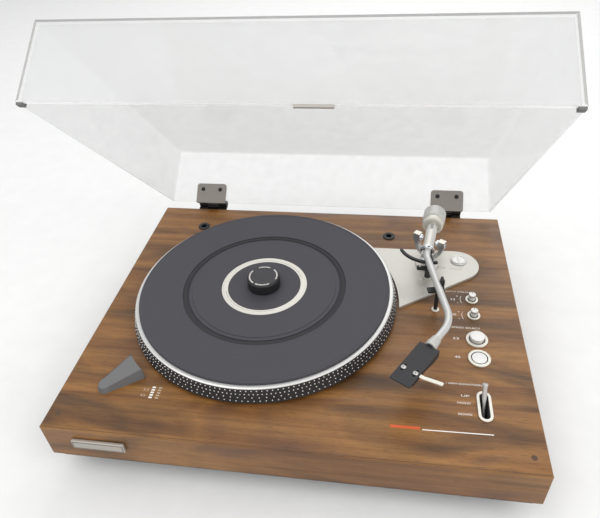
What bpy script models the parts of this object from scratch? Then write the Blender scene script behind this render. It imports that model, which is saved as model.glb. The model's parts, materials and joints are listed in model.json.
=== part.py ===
"""Belt-drive turntable: veneered plinth, strobe-edged platter, S-shaped arm and hinged clear lid.

The model is in metres with +Z up. Its origin is on the floor, under the middle of the object's
box with the lid held open. Every piece is placed from the middle of the deck, the plinth's top.
"""
import math

import bmesh
import bpy
from mathutils import Vector

# Gaps and overruns
CLEAR = 0.0003
OVERRUN = 0.002
MERGE = 0.00001
ROUND_STEPS = 24
SMALL_STEPS = 16
LARGE_STEPS = 72
SHARP_ANGLE = math.radians(35)

# Plinth
PLINTH_WIDTH = 0.470
PLINTH_DEPTH = 0.3816
PLINTH_HEIGHT = 0.0439
PLINTH_WALL = 0.016
DECK_THICKNESS = 0.016
PLINTH_EDGE = 0.0008

# Bottom tray and its feet
TRAY_INSET = 0.006
TRAY_HEIGHT = 0.010
TRAY_WALL = 0.003
TRAY_RIM = 0.016
FOOT_INSET = 0.048
FOOT_TOP_RADIUS = 0.022
FOOT_WAIST_RADIUS = 0.018
FOOT_PAD_RADIUS = 0.024
FOOT_HEIGHT = 0.0214
FOOT_PAD_HEIGHT = 0.007
FOOT_EDGE = 0.0015

# Plate on the front
BADGE_WIDTH = 0.0535
BADGE_HEIGHT = 0.0118
BADGE_THICKNESS = 0.0035
BADGE_EDGE = 0.0008
BADGE_X_SHARE = -0.3787
BADGE_X = PLINTH_WIDTH * BADGE_X_SHARE
BADGE_DROP = 0.0187

# Transit bushes in the deck
BUSH_RADIUS = 0.0078
BUSH_HOLE_RADIUS = 0.0038
BUSH_NECK_RADIUS = 0.0062
BUSH_FLANGE = 0.0012
BUSH_DEPTH = 0.0175
BUSH_X_SHARES = (-0.3528, 0.1915)
BUSH_LEFT = (PLINTH_WIDTH * BUSH_X_SHARES[0], 0.1461)
BUSH_RIGHT = (PLINTH_WIDTH * BUSH_X_SHARES[1], 0.1408)

# Platter, its mat and the adapter
PLATTER_X_SHARE = -0.10532
PLATTER_RADIUS_SHARE = 0.31234
PLATTER_PLACE = (PLINTH_WIDTH * PLATTER_X_SHARE, 0.0039)
PLATTER_RADIUS = PLINTH_WIDTH * PLATTER_RADIUS_SHARE
PLATTER_GAP = 0.0045
PLATTER_RIM_HEIGHT = 0.0173
PLATTER_FLARE = 0.0042
PLATTER_RIM_WALL = 0.006
PLATTER_WEB = 0.003
PLATTER_EDGE = 0.0007
MAT_INSET = 0.0043
MAT_RADIUS = PLATTER_RADIUS - MAT_INSET
MAT_RECESS = 0.001
MAT_STAND = 0.0026
MAT_EDGE = 0.0008
MAT_GROOVE_SHARES = (0.5775, 0.5951, 0.6182, 0.6561)
MAT_GROOVE_RADII = [MAT_RADIUS * share for share in MAT_GROOVE_SHARES]
MAT_GROOVE_STEP = 0.0004
TRIM_RING_INNER = 0.0418
TRIM_RING_OUTER = 0.0490
TRIM_RING_SINK = 0.0006
HUB_RADIUS = 0.014
HUB_BOTTOM = 0.0066
BELT_RIM_SHARE = 0.511
BELT_RIM_RADIUS = PLATTER_RADIUS * BELT_RIM_SHARE
BELT_RIM_WALL = 0.003
BELT_RIM_BOTTOM = 0.0045
ADAPTER_RADIUS = 0.0188
ADAPTER_HEIGHT = 0.0136
ADAPTER_EDGE = 0.0012

# Bearing and spindle
SPINDLE_PIN_RADIUS = 0.0036
SPINDLE_PIN_RISE = 0.0112
SPINDLE_PIN_EDGE = 0.0012
SPINDLE_COLLAR_RADIUS = 0.0085
SPINDLE_SHAFT_RADIUS = 0.005
BEARING_FLANGE_RADIUS = 0.024
BEARING_FLANGE = 0.003
BEARING_TUBE_RADIUS = 0.0095
BEARING_DEPTH = 0.038
BEARING_FLOOR = 0.002
THRUST_BALL_RADIUS = 0.002

# Motor, pulley and belt
MOTOR_BEARING_ANGLE = math.radians(135)
MOTOR_REACH = 0.025
MOTOR_DISTANCE = BELT_RIM_RADIUS + MOTOR_REACH
MOTOR_RADIUS = 0.019
MOTOR_DEPTH = 0.030
MOTOR_FLANGE_RADIUS = 0.027
MOTOR_FLANGE = 0.0018
PULLEY_RADIUS = 0.006
PULLEY_LIP = 0.0008
PULLEY_LIP_HEIGHT = 0.001
PULLEY_BOTTOM = 0.0045
PULLEY_HEIGHT = 0.011
PULLEY_SHAFT_RADIUS = 0.0015
PULLEY_SHAFT_DEPTH = 0.010
BELT_WIDTH = 0.005
BELT_THICKNESS = 0.0008
BELT_LARGE_STEPS = 48
BELT_SMALL_STEPS = 10

# Parts inside the plinth
TRANSFORMER_SIZE = (0.056, 0.046, 0.030)
TRANSFORMER_GAP = 0.008
TRANSFORMER_PLACE = (
    TRANSFORMER_SIZE[0] / 2 + PLINTH_WALL + TRANSFORMER_GAP - PLINTH_WIDTH / 2,
    PLINTH_DEPTH / 2 - PLINTH_WALL - TRANSFORMER_GAP - TRANSFORMER_SIZE[1] / 2,
)
TRANSFORMER_CORE_SHARE = 0.45
TRANSFORMER_COIL_SHARE = 0.6
BOARD_SIZE = (0.110, 0.070, 0.0016)
BOARD_X_SHARE = 0.24
BOARD_PLACE = (PLINTH_WIDTH * BOARD_X_SHARE, -0.020)
BOARD_RISE = 0.006
BOARD_POST_RADIUS = 0.003
BOARD_POST_SHARE = 0.42

# Strobe lamp housing
STROBE_BEARING_ANGLE = math.radians(-134.4)
STROBE_GAP = 0.0167
STROBE_START = PLATTER_RADIUS + STROBE_GAP
STROBE_LENGTH = 0.0437
STROBE_WIDTH = 0.0300
STROBE_TIP_WIDTH = 0.0180
STROBE_HEIGHT = 0.0118
STROBE_TIP_HEIGHT = 0.0048
STROBE_DRAFT = 0.0018
STROBE_WINDOW_WIDTH = 0.018
STROBE_WINDOW_HEIGHT = 0.006
STROBE_WINDOW_DEPTH = 0.008
STROBE_WINDOW_SILL = 0.0025
LAMP_RADIUS = 0.0023
LAMP_LENGTH = 0.014
ARC_STEPS = 8

# Controls on the right of the deck
CONTROL_X_SHARE = 0.3964
CONTROL_X = PLINTH_WIDTH * CONTROL_X_SHARE
TRIM_FIRST_Y = 0.0248
TRIM_PITCH = 0.0260
TRIM_BEZEL_RADIUS = 0.0070
TRIM_BEZEL_HEIGHT = 0.0014
TRIM_KNOB_RADIUS = 0.0040
TRIM_KNOB_HEIGHT = 0.0084
TRIM_KNOB_EDGE = 0.0006
TRIM_SHAFT_RADIUS = 0.003
TRIM_POT_RADIUS = 0.008
TRIM_POT_HEIGHT = 0.010
TRIM_POT_BAR = 0.003
TRIM_SHAFT_SINK = 0.004
BUTTON_FIRST_Y = -0.0377
BUTTON_PITCH = 0.0265
BUTTON_BEZEL_RADIUS = 0.0114
BUTTON_BEZEL_HEIGHT = 0.0016
BUTTON_RADIUS = 0.0076
BUTTON_GAP = 0.0009
BUTTON_TRAVEL = 0.0045
BUTTON_PROUD = 0.0004
BUTTON_SKIRT = 0.009
BUTTON_EDGE = 0.0006
BUTTON_STEM_RADIUS = 0.003
BUTTON_STEM_LENGTH = 0.016
SWITCH_BLOCK_SIZE = (0.024, 0.052, 0.010)

# Cueing lever
LEVER_FRONT_INSET = 0.067
LEVER_X_SHARE = 0.3945
LEVER_PLACE = (PLINTH_WIDTH * LEVER_X_SHARE, LEVER_FRONT_INSET - PLINTH_DEPTH / 2)
LEVER_AXLE_FORWARD = 0.0074
LEVER_AXLE_PLACE = (LEVER_PLACE[0], LEVER_PLACE[1] - LEVER_AXLE_FORWARD)
LEVER_AXLE_DROP = 0.020
LEVER_LEAN = math.radians(33)
LEVER_RISE = 0.0420
LEVER_FOOT_RADIUS = 0.0016
LEVER_TOP_RADIUS = 0.0031
LEVER_BOSS_RADIUS = 0.0036
LEVER_AXLE_RADIUS = 0.0014
SLOT_LENGTH = 0.0296
SLOT_WIDTH = 0.0082
SLOT_BEZEL_BORDER = 0.0027
SLOT_BEZEL_HEIGHT = 0.0014
BRACKET_CHEEK = 0.0018
BRACKET_CHEEK_LENGTH = 0.014
BRACKET_DEPTH = 0.009
SLOT_ARC_STEPS = 8

# Plate that carries the arm
ARM_PLATE_THICKNESS = 0.0035
ARM_PLATE_CLEARANCE = 0.0072
ARM_PLATE_CORNER_Y = 0.0019
ARM_PLATE_END_RADIUS = 0.027
ARM_PLATE_X_SHARE = 0.36702
ARM_PLATE_END = (PLINTH_WIDTH * ARM_PLATE_X_SHARE, 0.0830)

# Anti-skate dial
ANTI_SKATE_X_SHARE = 0.37447
ANTI_SKATE_PLACE = (PLINTH_WIDTH * ANTI_SKATE_X_SHARE, 0.0910)
ANTI_SKATE_RADIUS = 0.0098
ANTI_SKATE_SKIRT = 0.0010
ANTI_SKATE_GRIP_RADIUS = 0.0084
ANTI_SKATE_HEIGHT = 0.0022
ANTI_SKATE_EDGE = 0.0006
ANTI_SKATE_SHAFT_RADIUS = 0.002
ANTI_SKATE_SHAFT_DEPTH = 0.008

# Arm pivot, pillar and yoke
ARM_X_SHARE = 0.29298
ARM_PLACE = (PLINTH_WIDTH * ARM_X_SHARE, 0.0820)
ARM_HEIGHT = 0.0400
ARM_HEADING = math.radians(-8.57)
PILLAR_FLANGE_RADIUS = 0.0145
PILLAR_FLANGE = 0.002
PILLAR_RADIUS = 0.008
PILLAR_BORE_RADIUS = 0.0034
PILLAR_DEPTH = 0.030
PILLAR_NECK_RADIUS = 0.0065
YOKE_TURN = math.radians(-21.9)
YOKE_OUTER_RADIUS = 0.0182
YOKE_STRAP = 0.0042
YOKE_THICKNESS = 0.0072
YOKE_TOP = 0.0050
YOKE_BLOCK_WIDTH = 0.0080
YOKE_BLOCK_HEIGHT = 0.0095
YOKE_DEPTH = 0.0238
YOKE_BOTTOM = ARM_HEIGHT - YOKE_DEPTH
YOKE_CLEARANCE = 0.0007
PILLAR_TOP = YOKE_BOTTOM - YOKE_CLEARANCE
YOKE_ARC_STEPS = 14
PIVOT_SCREW_RADIUS = 0.0024
PIVOT_SCREW_STAND = 0.0006

# Arm sleeve, stub and S-shaped tube
SLEEVE_RADIUS = 0.0063
SLEEVE_FRONT = 0.0220
SLEEVE_BACK = 0.0275
SLEEVE_COLLAR_RADIUS = 0.0070
SLEEVE_COLLAR_LENGTH = 0.003
SLEEVE_COLLAR_INSET = 0.001
STUB_RADIUS = 0.0048
STUB_LENGTH = 0.0558
SLEEVE_SOCKET_DEPTH = 0.006
TUBE_RADIUS = 0.0038
TUBE_FIRST_CORNER = 0.0301
TUBE_FIRST_ANGLE = math.radians(20.16)
TUBE_FIRST_RADIUS = 0.040
TUBE_MIDDLE = 0.1074
TUBE_SECOND_ANGLE = math.radians(42.86)
TUBE_SECOND_RADIUS = 0.062
TUBE_LAST = 0.0325
TUBE_BEND_STEPS = 8

# Counterweight and its dial
DIAL_START = 0.0300
DIAL_LENGTH = 0.0070
DIAL_RADIUS = 0.0124
WEIGHT_RADIUS = 0.0137
WEIGHT_LENGTH = 0.0230
WEIGHT_EDGE = 0.0012
WEIGHT_BACK = 0.003

# Headshell and what it carries
NUT_START = 0.0022
NUT_LENGTH = 0.0130
NUT_BACK_RADIUS = 0.0050
NUT_FRONT_RADIUS = 0.0063
SHELL_LENGTH = 0.0545
SHELL_WIDTH = 0.0210
SHELL_TOP = 0.0022
SHELL_PLATE = 0.0020
SHELL_SKIRT_DEPTH = 0.0065
SHELL_SKIRT_END = 0.040
SHELL_SKIRT_WALL = 0.0016
SHELL_BACK_BLOCK = 0.010
SHELL_EDGE = 0.0005
SHELL_PLUG_RADIUS = 0.0038
SHELL_PLUG_LENGTH = 0.0105
SCREW_FROM_BACK = 0.0369
SCREW_SPACING = 0.0127
SCREW_RADIUS = 0.0011
SCREW_DEPTH = 0.0080
SHELL_SLOT_WIDTH = 0.0027
SHELL_SLOT_LENGTH = 0.0090
CARTRIDGE_LENGTH = 0.0240
CARTRIDGE_WIDTH = 0.0165
CARTRIDGE_HEIGHT = 0.0102
CARTRIDGE_FRONT = 0.0065
CARTRIDGE_EDGE = 0.0008
STYLUS_LENGTH = 0.0090
STYLUS_WIDTH = 0.0050
STYLUS_HEIGHT = 0.0018
STYLUS_TIP_DROP = 0.0042
STYLUS_TIP_RADIUS = 0.0006
LIFT_WIDTH = 0.0038
LIFT_THICKNESS = 0.0012
LIFT_REACH = 0.0230
LIFT_RISE = 0.0046
LIFT_CURL = 0.0008

# Cue lift
CUE_ARC_RADIUS = 0.0352
CUE_BAR_WIDTH = 0.0034
CUE_BAR_HEIGHT = 0.0032
CUE_FIRST_ANGLE = math.radians(-76.3)
CUE_LAST_ANGLE = math.radians(-159.5)
CUE_TAB_ANGLE = math.radians(-90.7)
CUE_TAB_HALF_ANGLE = math.radians(7)
CUE_TAB_RADIUS = 0.0260
CUE_TAB_END = 0.0225
CUE_TRAVEL = 0.005
CUE_PLUNGER_RADIUS = 0.0021
CUE_PLUNGER_BOTTOM = 0.0080
CUE_GUIDE_RADIUS = 0.0038
CUE_GUIDE_FLANGE_RADIUS = 0.0062
CUE_GUIDE_FLANGE = 0.0015
CUE_ARC_STEPS = 14

# Arm rest
REST_FORWARD = 0.076
REST_LENGTH = 0.0080
REST_FLOOR = 0.0026
REST_DROP = 0.0040
REST_LEFT = 0.0095
REST_WALL = 0.0032
REST_PRONG = 0.0030
REST_LIP = 0.0012
REST_POST_OFFSET = 0.0018
REST_POST_RADIUS = 0.0023
REST_POST_DEPTH = 0.012
REST_COLLAR_RADIUS = 0.0044
REST_COLLAR_HEIGHT = 0.0016

# Lid, drawn closed and then turned open about its hinge
LID_SIDE_INSET = 0.01065
LID_DEPTH_INSET = 0.0161
LID_WIDTH = PLINTH_WIDTH - 2 * LID_SIDE_INSET
LID_DEPTH = PLINTH_DEPTH - LID_DEPTH_INSET
LID_HEIGHT = 0.0755
LID_WALL = 0.003
LID_SIDE_DRAFT = 0.0046
LID_FRONT_DRAFT = 0.0049
LID_BACK_DRAFT = 0.0015
LID_LIFT = 0.0027
LID_OPEN = math.radians(45.775)
HINGE_BACK = 0.0091
HINGE_RISE = 0.0037
LID_TO_HINGE = 0.0103
LID_PAD_SIZE = (0.006, 0.006)
LID_PAD_INSET = 0.0004

# Lid hinges
HINGE_INSET = 0.05855
HINGE_X = LID_WIDTH / 2 - HINGE_INSET
LEAF_WIDTH = 0.0444
LEAF_HEIGHT = 0.0290
LEAF_THICKNESS = 0.0015
LEAF_BOTTOM_GAP = 0.0004
LEAF_FOOT_WIDTH = 0.0160
KNUCKLE_RADIUS = 0.0045
BRACKET_KNUCKLE_LENGTH = 0.0120
BRACKET_PLATE_HEIGHT = 0.026
BRACKET_PLATE_THICKNESS = 0.002
BRACKET_TAB = 0.003
HINGE_PIN_RADIUS = 0.0017

# Rear terminals
TERMINAL_SIZE = (0.110, 0.002, 0.030)
TERMINAL_X_SHARE = -0.06
TERMINAL_X = PLINTH_WIDTH * TERMINAL_X_SHARE
TERMINAL_DROP = 0.006
JACK_RADIUS = 0.0045
JACK_LENGTH = 0.009
JACK_PITCH = 0.018
JACK_FIRST = -0.038
GLAND_X = 0.038
GLAND_RADIUS = 0.0055
GLAND_BORE_RADIUS = 0.0030
GLAND_LENGTH = 0.006

# Heights and places that follow from the sizes above
ARM_PLATE_TOP = CLEAR + ARM_PLATE_THICKNESS
RIM_TOP = PLATTER_GAP + PLATTER_RIM_HEIGHT
WEB_TOP = RIM_TOP - MAT_RECESS
WEB_BOTTOM = WEB_TOP - PLATTER_WEB
MAT_TOP = RIM_TOP + MAT_STAND
MAT_BOTTOM = WEB_TOP + CLEAR
TRAY_TOP = -PLINTH_HEIGHT - CLEAR
TRAY_BOTTOM = TRAY_TOP - TRAY_HEIGHT
TRAY_FLOOR = TRAY_BOTTOM + TRAY_WALL
DECK_RISE = -TRAY_BOTTOM + CLEAR + FOOT_HEIGHT
BEARING_TOP = CLEAR + BEARING_FLANGE
BUTTON_TOP = BUTTON_BEZEL_HEIGHT + BUTTON_PROUD
HINGE_Y = PLINTH_DEPTH / 2 + HINGE_BACK
LID_BACK = -LID_TO_HINGE
LID_FRONT = LID_BACK - LID_DEPTH
LID_RIM = LID_LIFT - HINGE_RISE
CUE_BAR_TOP = ARM_HEIGHT - TUBE_RADIUS - CLEAR
CUE_BAR_BOTTOM = CUE_BAR_TOP - CUE_BAR_HEIGHT


def lid_open_back():
    """How far behind the deck's middle the open lid's highest back edge reaches."""
    y = LID_BACK - LID_BACK_DRAFT
    z = LID_RIM + LID_HEIGHT
    return HINGE_Y + y * math.cos(LID_OPEN) + z * math.sin(LID_OPEN)


ORIGIN_Y = (PLINTH_DEPTH / 2 + BADGE_THICKNESS + CLEAR - lid_open_back()) / 2


def clear_scene():
    """Removes every object that the file starts with."""
    for thing in list(bpy.data.objects):
        bpy.data.objects.remove(thing)


def collection(name):
    """A new collection in the scene."""
    made = bpy.data.collections.new(name)
    bpy.context.scene.collection.children.link(made)
    return made


def finish(name, colour, roughness, metallic=0.0, alpha=1.0):
    """A Principled material."""
    made = bpy.data.materials.new(name)
    made.use_nodes = True
    shader = made.node_tree.nodes["Principled BSDF"]
    shader.inputs["Base Color"].default_value = (*colour, 1.0)
    shader.inputs["Roughness"].default_value = roughness
    shader.inputs["Metallic"].default_value = metallic
    shader.inputs["Alpha"].default_value = alpha
    return made


clear_scene()
PARTS = collection("turntable")
CUTTERS = collection("cutters")
CUTTERS.hide_render = True


def put(name, data, parent, at=(0, 0, 0), turn=(0, 0, 0), group=PARTS):
    """A new object on its parent, at a place and a turn in the parent's frame."""
    made = bpy.data.objects.new(name, data)
    group.objects.link(made)
    made.parent = parent
    made.location = at
    made.rotation_euler = turn
    return made


def frame(name, parent, at=(0, 0, 0), turn=(0, 0, 0)):
    """An empty that carries pieces."""
    return put(name, None, parent, at, turn)


def dress(piece, material, smooth=True):
    """Gives a piece its own copy of a finish, and shades it."""
    own = material.copy()
    own.name = piece.name
    piece.data.materials.append(own)
    if smooth and piece.type == "MESH":
        piece.data.shade_smooth()
        piece.data.set_sharp_from_angle(angle=SHARP_ANGLE)
    return piece


def block_mesh(name, size, edge=0.0, edge_all=False):
    """A box of this size that stands on its origin, with its upright or all edges chamfered."""
    shape = bmesh.new()
    bmesh.ops.create_cube(shape, size=1.0)
    bmesh.ops.scale(shape, vec=size, verts=shape.verts)
    bmesh.ops.translate(shape, vec=(0, 0, size[2] / 2), verts=shape.verts)
    if edge:
        upright = [e for e in shape.edges if edge_all or abs((e.verts[0].co - e.verts[1].co).z) > MERGE]
        bmesh.ops.bevel(shape, geom=upright, offset=edge, segments=1, affect="EDGES")
    mesh = bpy.data.meshes.new(name)
    shape.to_mesh(mesh)
    shape.free()
    return mesh


def rod_mesh(name, radius, length, steps=SMALL_STEPS, top_radius=None):
    """An upright rod or cone that stands on its origin."""
    shape = bmesh.new()
    top = radius if top_radius is None else top_radius
    bmesh.ops.create_cone(shape, cap_ends=True, segments=steps, radius1=radius, radius2=top, depth=length)
    bmesh.ops.translate(shape, vec=(0, 0, length / 2), verts=shape.verts)
    mesh = bpy.data.meshes.new(name)
    shape.to_mesh(mesh)
    shape.free()
    return mesh


def turned(name, profile, parent, at=(0, 0, 0), turn=(0, 0, 0), ring=False, steps=ROUND_STEPS):
    """A lathed piece. Its profile runs down the outer side, from top to bottom."""
    mesh = bpy.data.meshes.new(name)
    edges = [(i, i + 1) for i in range(len(profile) - 1)]
    if ring:
        edges.append((len(profile) - 1, 0))
    mesh.from_pydata([(radius, 0, z) for radius, z in profile], edges, [])
    made = put(name, mesh, parent, at, turn)
    screw = made.modifiers.new("turn", "SCREW")
    screw.steps = steps
    screw.render_steps = steps
    screw.use_merge_vertices = True
    screw.merge_threshold = MERGE
    return made


def flat(name, outline, low, high, parent, at=(0, 0, 0), turn=(0, 0, 0)):
    """A flat outline with an upright edge between two heights, as a mesh."""
    curve = bpy.data.curves.new(name, "CURVE")
    curve.dimensions = "2D"
    curve.fill_mode = "BOTH"
    curve.extrude = (high - low) / 2
    line = curve.splines.new("POLY")
    line.points.add(len(outline) - 1)
    for point, (x, y) in zip(line.points, outline):
        point.co = (x, y, 0, 1)
    line.use_cyclic_u = True
    made = as_mesh(put(name, curve, None))
    for vertex in made.data.vertices:
        vertex.co.z += (high + low) / 2
    made.parent = parent
    made.location = at
    made.rotation_euler = turn
    return made


def as_mesh(drawn):
    """Turns a curve object into a welded mesh object of the same name and place."""
    name = drawn.name
    parent = drawn.parent
    at = drawn.location.copy()
    turn = drawn.rotation_euler.copy()
    graph = bpy.context.evaluated_depsgraph_get()
    mesh = bpy.data.meshes.new_from_object(drawn.evaluated_get(graph))
    bpy.data.objects.remove(drawn)
    shape = bmesh.new()
    shape.from_mesh(mesh)
    bmesh.ops.remove_doubles(shape, verts=shape.verts, dist=MERGE)
    shape.to_mesh(mesh)
    shape.free()
    return put(name, mesh, parent, at, turn)


def tool(mesh, parent, at=(0, 0, 0), turn=(0, 0, 0)):
    """A cutter or a shape to be joined, kept apart from the parts."""
    made = put(mesh.name, mesh, parent, at, turn, CUTTERS)
    made.hide_render = True
    made.display_type = "WIRE"
    return made


def shape_with(piece, other, operation="DIFFERENCE"):
    """Cuts, or joins, another object into a piece."""
    step = piece.modifiers.new(operation.lower(), "BOOLEAN")
    step.operation = operation
    step.object = other
    step.solver = "EXACT"


def drill(piece, parent, places, radius, low, high, steps=SMALL_STEPS):
    """Cuts upright round holes at the given places, from one height to another."""
    for x, y in places:
        mesh = rod_mesh(piece.name + "_hole", radius, high - low, steps)
        shape_with(piece, tool(mesh, parent, (x, y, low)))


def arc(centre, radius, first, last, steps):
    """Points along an arc, both ends included."""
    turns = [first + (last - first) * i / steps for i in range(steps + 1)]
    return [(centre[0] + radius * math.cos(a), centre[1] + radius * math.sin(a)) for a in turns]


def stadium(width, length, steps=SLOT_ARC_STEPS):
    """A slot's outline, long along Y."""
    reach = (length - width) / 2
    top = arc((0, reach), width / 2, 0, math.pi, steps)
    return top + arc((0, -reach), width / 2, math.pi, 2 * math.pi, steps)


# Finishes
WALNUT = finish("walnut_veneer", (0.22, 0.12, 0.065), 0.35)
BLACK_PLASTIC = finish("black_plastic", (0.02, 0.02, 0.02), 0.45)
DARK_GREY = finish("dark_grey_plastic", (0.09, 0.09, 0.09), 0.5)
RUBBER = finish("rubber", (0.03, 0.03, 0.032), 0.85)
MAT_RUBBER = finish("mat_rubber", (0.085, 0.085, 0.09), 0.8)
CAST_ALUMINIUM = finish("cast_aluminium", (0.62, 0.62, 0.61), 0.35, 1.0)
SATIN_PLATE = finish("satin_plate", (0.60, 0.59, 0.56), 0.4, 0.6)
CHROME = finish("chrome", (0.75, 0.75, 0.75), 0.12, 1.0)
SATIN_METAL = finish("satin_metal", (0.6, 0.6, 0.6), 0.35, 1.0)
STEEL = finish("steel", (0.45, 0.45, 0.45), 0.3, 1.0)
BRASS = finish("brass", (0.6, 0.42, 0.2), 0.3, 1.0)
GREEN_BOARD = finish("circuit_board", (0.03, 0.13, 0.06), 0.5)
HINGE_GREY = finish("hinge_grey", (0.16, 0.15, 0.14), 0.45, 0.5)
NEON = finish("neon_glass", (0.8, 0.35, 0.15), 0.1)
CLEAR_ACRYLIC = finish("clear_acrylic", (0.9, 0.92, 0.93), 0.05, 0.0, 0.2)

DECK = frame("deck_middle", None, (0, ORIGIN_Y, DECK_RISE))


def arm_plate_outline():
    """The arm plate: a hollow arc round the platter, a straight back and a round right end."""
    centre = Vector(ARM_PLATE_END)
    hollow = PLATTER_RADIUS + ARM_PLATE_CLEARANCE
    back_y = centre.y + ARM_PLATE_END_RADIUS - PLATTER_PLACE[1]
    first = math.asin(back_y / hollow)
    last = math.asin((ARM_PLATE_CORNER_Y - PLATTER_PLACE[1]) / hollow)
    corner = Vector((PLATTER_PLACE[0] + hollow * math.cos(last), ARM_PLATE_CORNER_Y))
    reach = centre - corner
    tangent = math.atan2(reach.y, reach.x) - math.asin(ARM_PLATE_END_RADIUS / reach.length)
    points = arc(PLATTER_PLACE, hollow, first, last, ARC_STEPS)
    return points + arc(centre, ARM_PLATE_END_RADIUS, tangent - math.pi / 2, math.pi / 2, 2 * ARC_STEPS)


def control_places(first_y, pitch):
    """The two places of a pair of controls, the rear one first."""
    return [(CONTROL_X, first_y), (CONTROL_X, first_y - pitch)]


TRIM_PLACES = control_places(TRIM_FIRST_Y, TRIM_PITCH)
BUTTON_PLACES = control_places(BUTTON_FIRST_Y, BUTTON_PITCH)


def motor_place():
    """The motor's axis, beside the belt rim."""
    x = PLATTER_PLACE[0] + MOTOR_DISTANCE * math.cos(MOTOR_BEARING_ANGLE)
    y = PLATTER_PLACE[1] + MOTOR_DISTANCE * math.sin(MOTOR_BEARING_ANGLE)
    return x, y


def arm_corner_points():
    """The arm tube's two corners and its far end, in the arm's frame, which points along -Y."""
    first = Vector((0, -TUBE_FIRST_CORNER))
    way = Vector((math.sin(TUBE_FIRST_ANGLE), -math.cos(TUBE_FIRST_ANGLE)))
    second = first + way * TUBE_MIDDLE
    turn = TUBE_FIRST_ANGLE - TUBE_SECOND_ANGLE
    end = second + Vector((math.sin(turn), -math.cos(turn))) * TUBE_LAST
    return first, second, end


def arm_rest_place():
    """Where the tube crosses its rest, in the arm's frame."""
    first, second, _ = arm_corner_points()
    share = (REST_FORWARD + first.y) / (first.y - second.y)
    return first.lerp(second, share)


def turned_plan(point, angle):
    """A plan point turned about the origin."""
    x = point[0] * math.cos(angle) - point[1] * math.sin(angle)
    return Vector((x, point[0] * math.sin(angle) + point[1] * math.cos(angle)))


REST_PLACE = Vector(ARM_PLACE) + turned_plan(arm_rest_place(), ARM_HEADING)
REST_TURN = ARM_HEADING + TUBE_FIRST_ANGLE
POST_PLACE = REST_PLACE + turned_plan((REST_POST_OFFSET, 0), REST_TURN)


def make_plinth():
    """The veneered box: top panel and walls in one, open below, with its holes."""
    size = (PLINTH_WIDTH, PLINTH_DEPTH, PLINTH_HEIGHT)
    plinth = put("plinth", block_mesh("plinth", size, PLINTH_EDGE, True), DECK, (0, 0, -PLINTH_HEIGHT))
    inside = (
        PLINTH_WIDTH - 2 * PLINTH_WALL,
        PLINTH_DEPTH - 2 * PLINTH_WALL,
        PLINTH_HEIGHT - DECK_THICKNESS + OVERRUN,
    )
    low = -PLINTH_HEIGHT - OVERRUN
    shape_with(plinth, tool(block_mesh("plinth_inside", inside), DECK, (0, 0, low)))
    bottom = -DECK_THICKNESS - OVERRUN
    drill(plinth, DECK, [PLATTER_PLACE], BEARING_TUBE_RADIUS + CLEAR, bottom, OVERRUN)
    drill(plinth, DECK, [motor_place()], MOTOR_RADIUS + CLEAR, bottom, OVERRUN, ROUND_STEPS)
    drill(plinth, DECK, [ARM_PLACE], PILLAR_NECK_RADIUS + CLEAR, bottom, OVERRUN)
    drill(plinth, DECK, [BUSH_LEFT, BUSH_RIGHT], BUSH_NECK_RADIUS + CLEAR, bottom, OVERRUN)
    drill(plinth, DECK, TRIM_PLACES, TRIM_SHAFT_RADIUS + CLEAR, bottom, OVERRUN)
    drill(plinth, DECK, BUTTON_PLACES, BUTTON_RADIUS + BUTTON_GAP, bottom, OVERRUN, ROUND_STEPS)
    drill(plinth, DECK, [ANTI_SKATE_PLACE], ANTI_SKATE_SHAFT_RADIUS + CLEAR, bottom, OVERRUN)
    drill(plinth, DECK, [POST_PLACE], REST_POST_RADIUS + CLEAR, bottom, OVERRUN)
    slot = flat("plinth_slot", stadium(SLOT_WIDTH, SLOT_LENGTH), bottom, OVERRUN, DECK, (*LEVER_PLACE, 0))
    move_to_cutters(slot)
    shape_with(plinth, slot)
    dress(plinth, WALNUT, False)


def move_to_cutters(piece):
    """Makes an object a cutter."""
    PARTS.objects.unlink(piece)
    CUTTERS.objects.link(piece)
    piece.hide_render = True
    piece.display_type = "WIRE"


def foot_places():
    """The four feet's names and places."""
    x = PLINTH_WIDTH / 2 - FOOT_INSET
    y = PLINTH_DEPTH / 2 - FOOT_INSET
    return {
        "foot_front_left": (-x, -y),
        "foot_front_right": (x, -y),
        "foot_rear_left": (-x, y),
        "foot_rear_right": (x, y),
    }


def make_base():
    """The bottom tray and its feet."""
    width = PLINTH_WIDTH - 2 * TRAY_INSET
    depth = PLINTH_DEPTH - 2 * TRAY_INSET
    tray = put("bottom_tray", block_mesh("bottom_tray", (width, depth, TRAY_HEIGHT)), DECK, (0, 0, TRAY_BOTTOM))
    hollow = block_mesh("tray_inside", (width - 2 * TRAY_RIM, depth - 2 * TRAY_RIM, TRAY_HEIGHT))
    shape_with(tray, tool(hollow, DECK, (0, 0, TRAY_FLOOR)))
    dress(tray, BLACK_PLASTIC, False)

    for name, (x, y) in foot_places().items():
        profile = [
            (0, 0),
            (FOOT_TOP_RADIUS, 0),
            (FOOT_WAIST_RADIUS, -FOOT_PAD_HEIGHT),
            (FOOT_WAIST_RADIUS, FOOT_PAD_HEIGHT - FOOT_HEIGHT),
            (FOOT_PAD_RADIUS, FOOT_PAD_HEIGHT - FOOT_HEIGHT),
            (FOOT_PAD_RADIUS, FOOT_EDGE - FOOT_HEIGHT),
            (FOOT_PAD_RADIUS - FOOT_EDGE, -FOOT_HEIGHT),
            (0, -FOOT_HEIGHT),
        ]
        dress(turned(name, profile, DECK, (x, y, TRAY_BOTTOM - CLEAR)), RUBBER)


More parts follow.
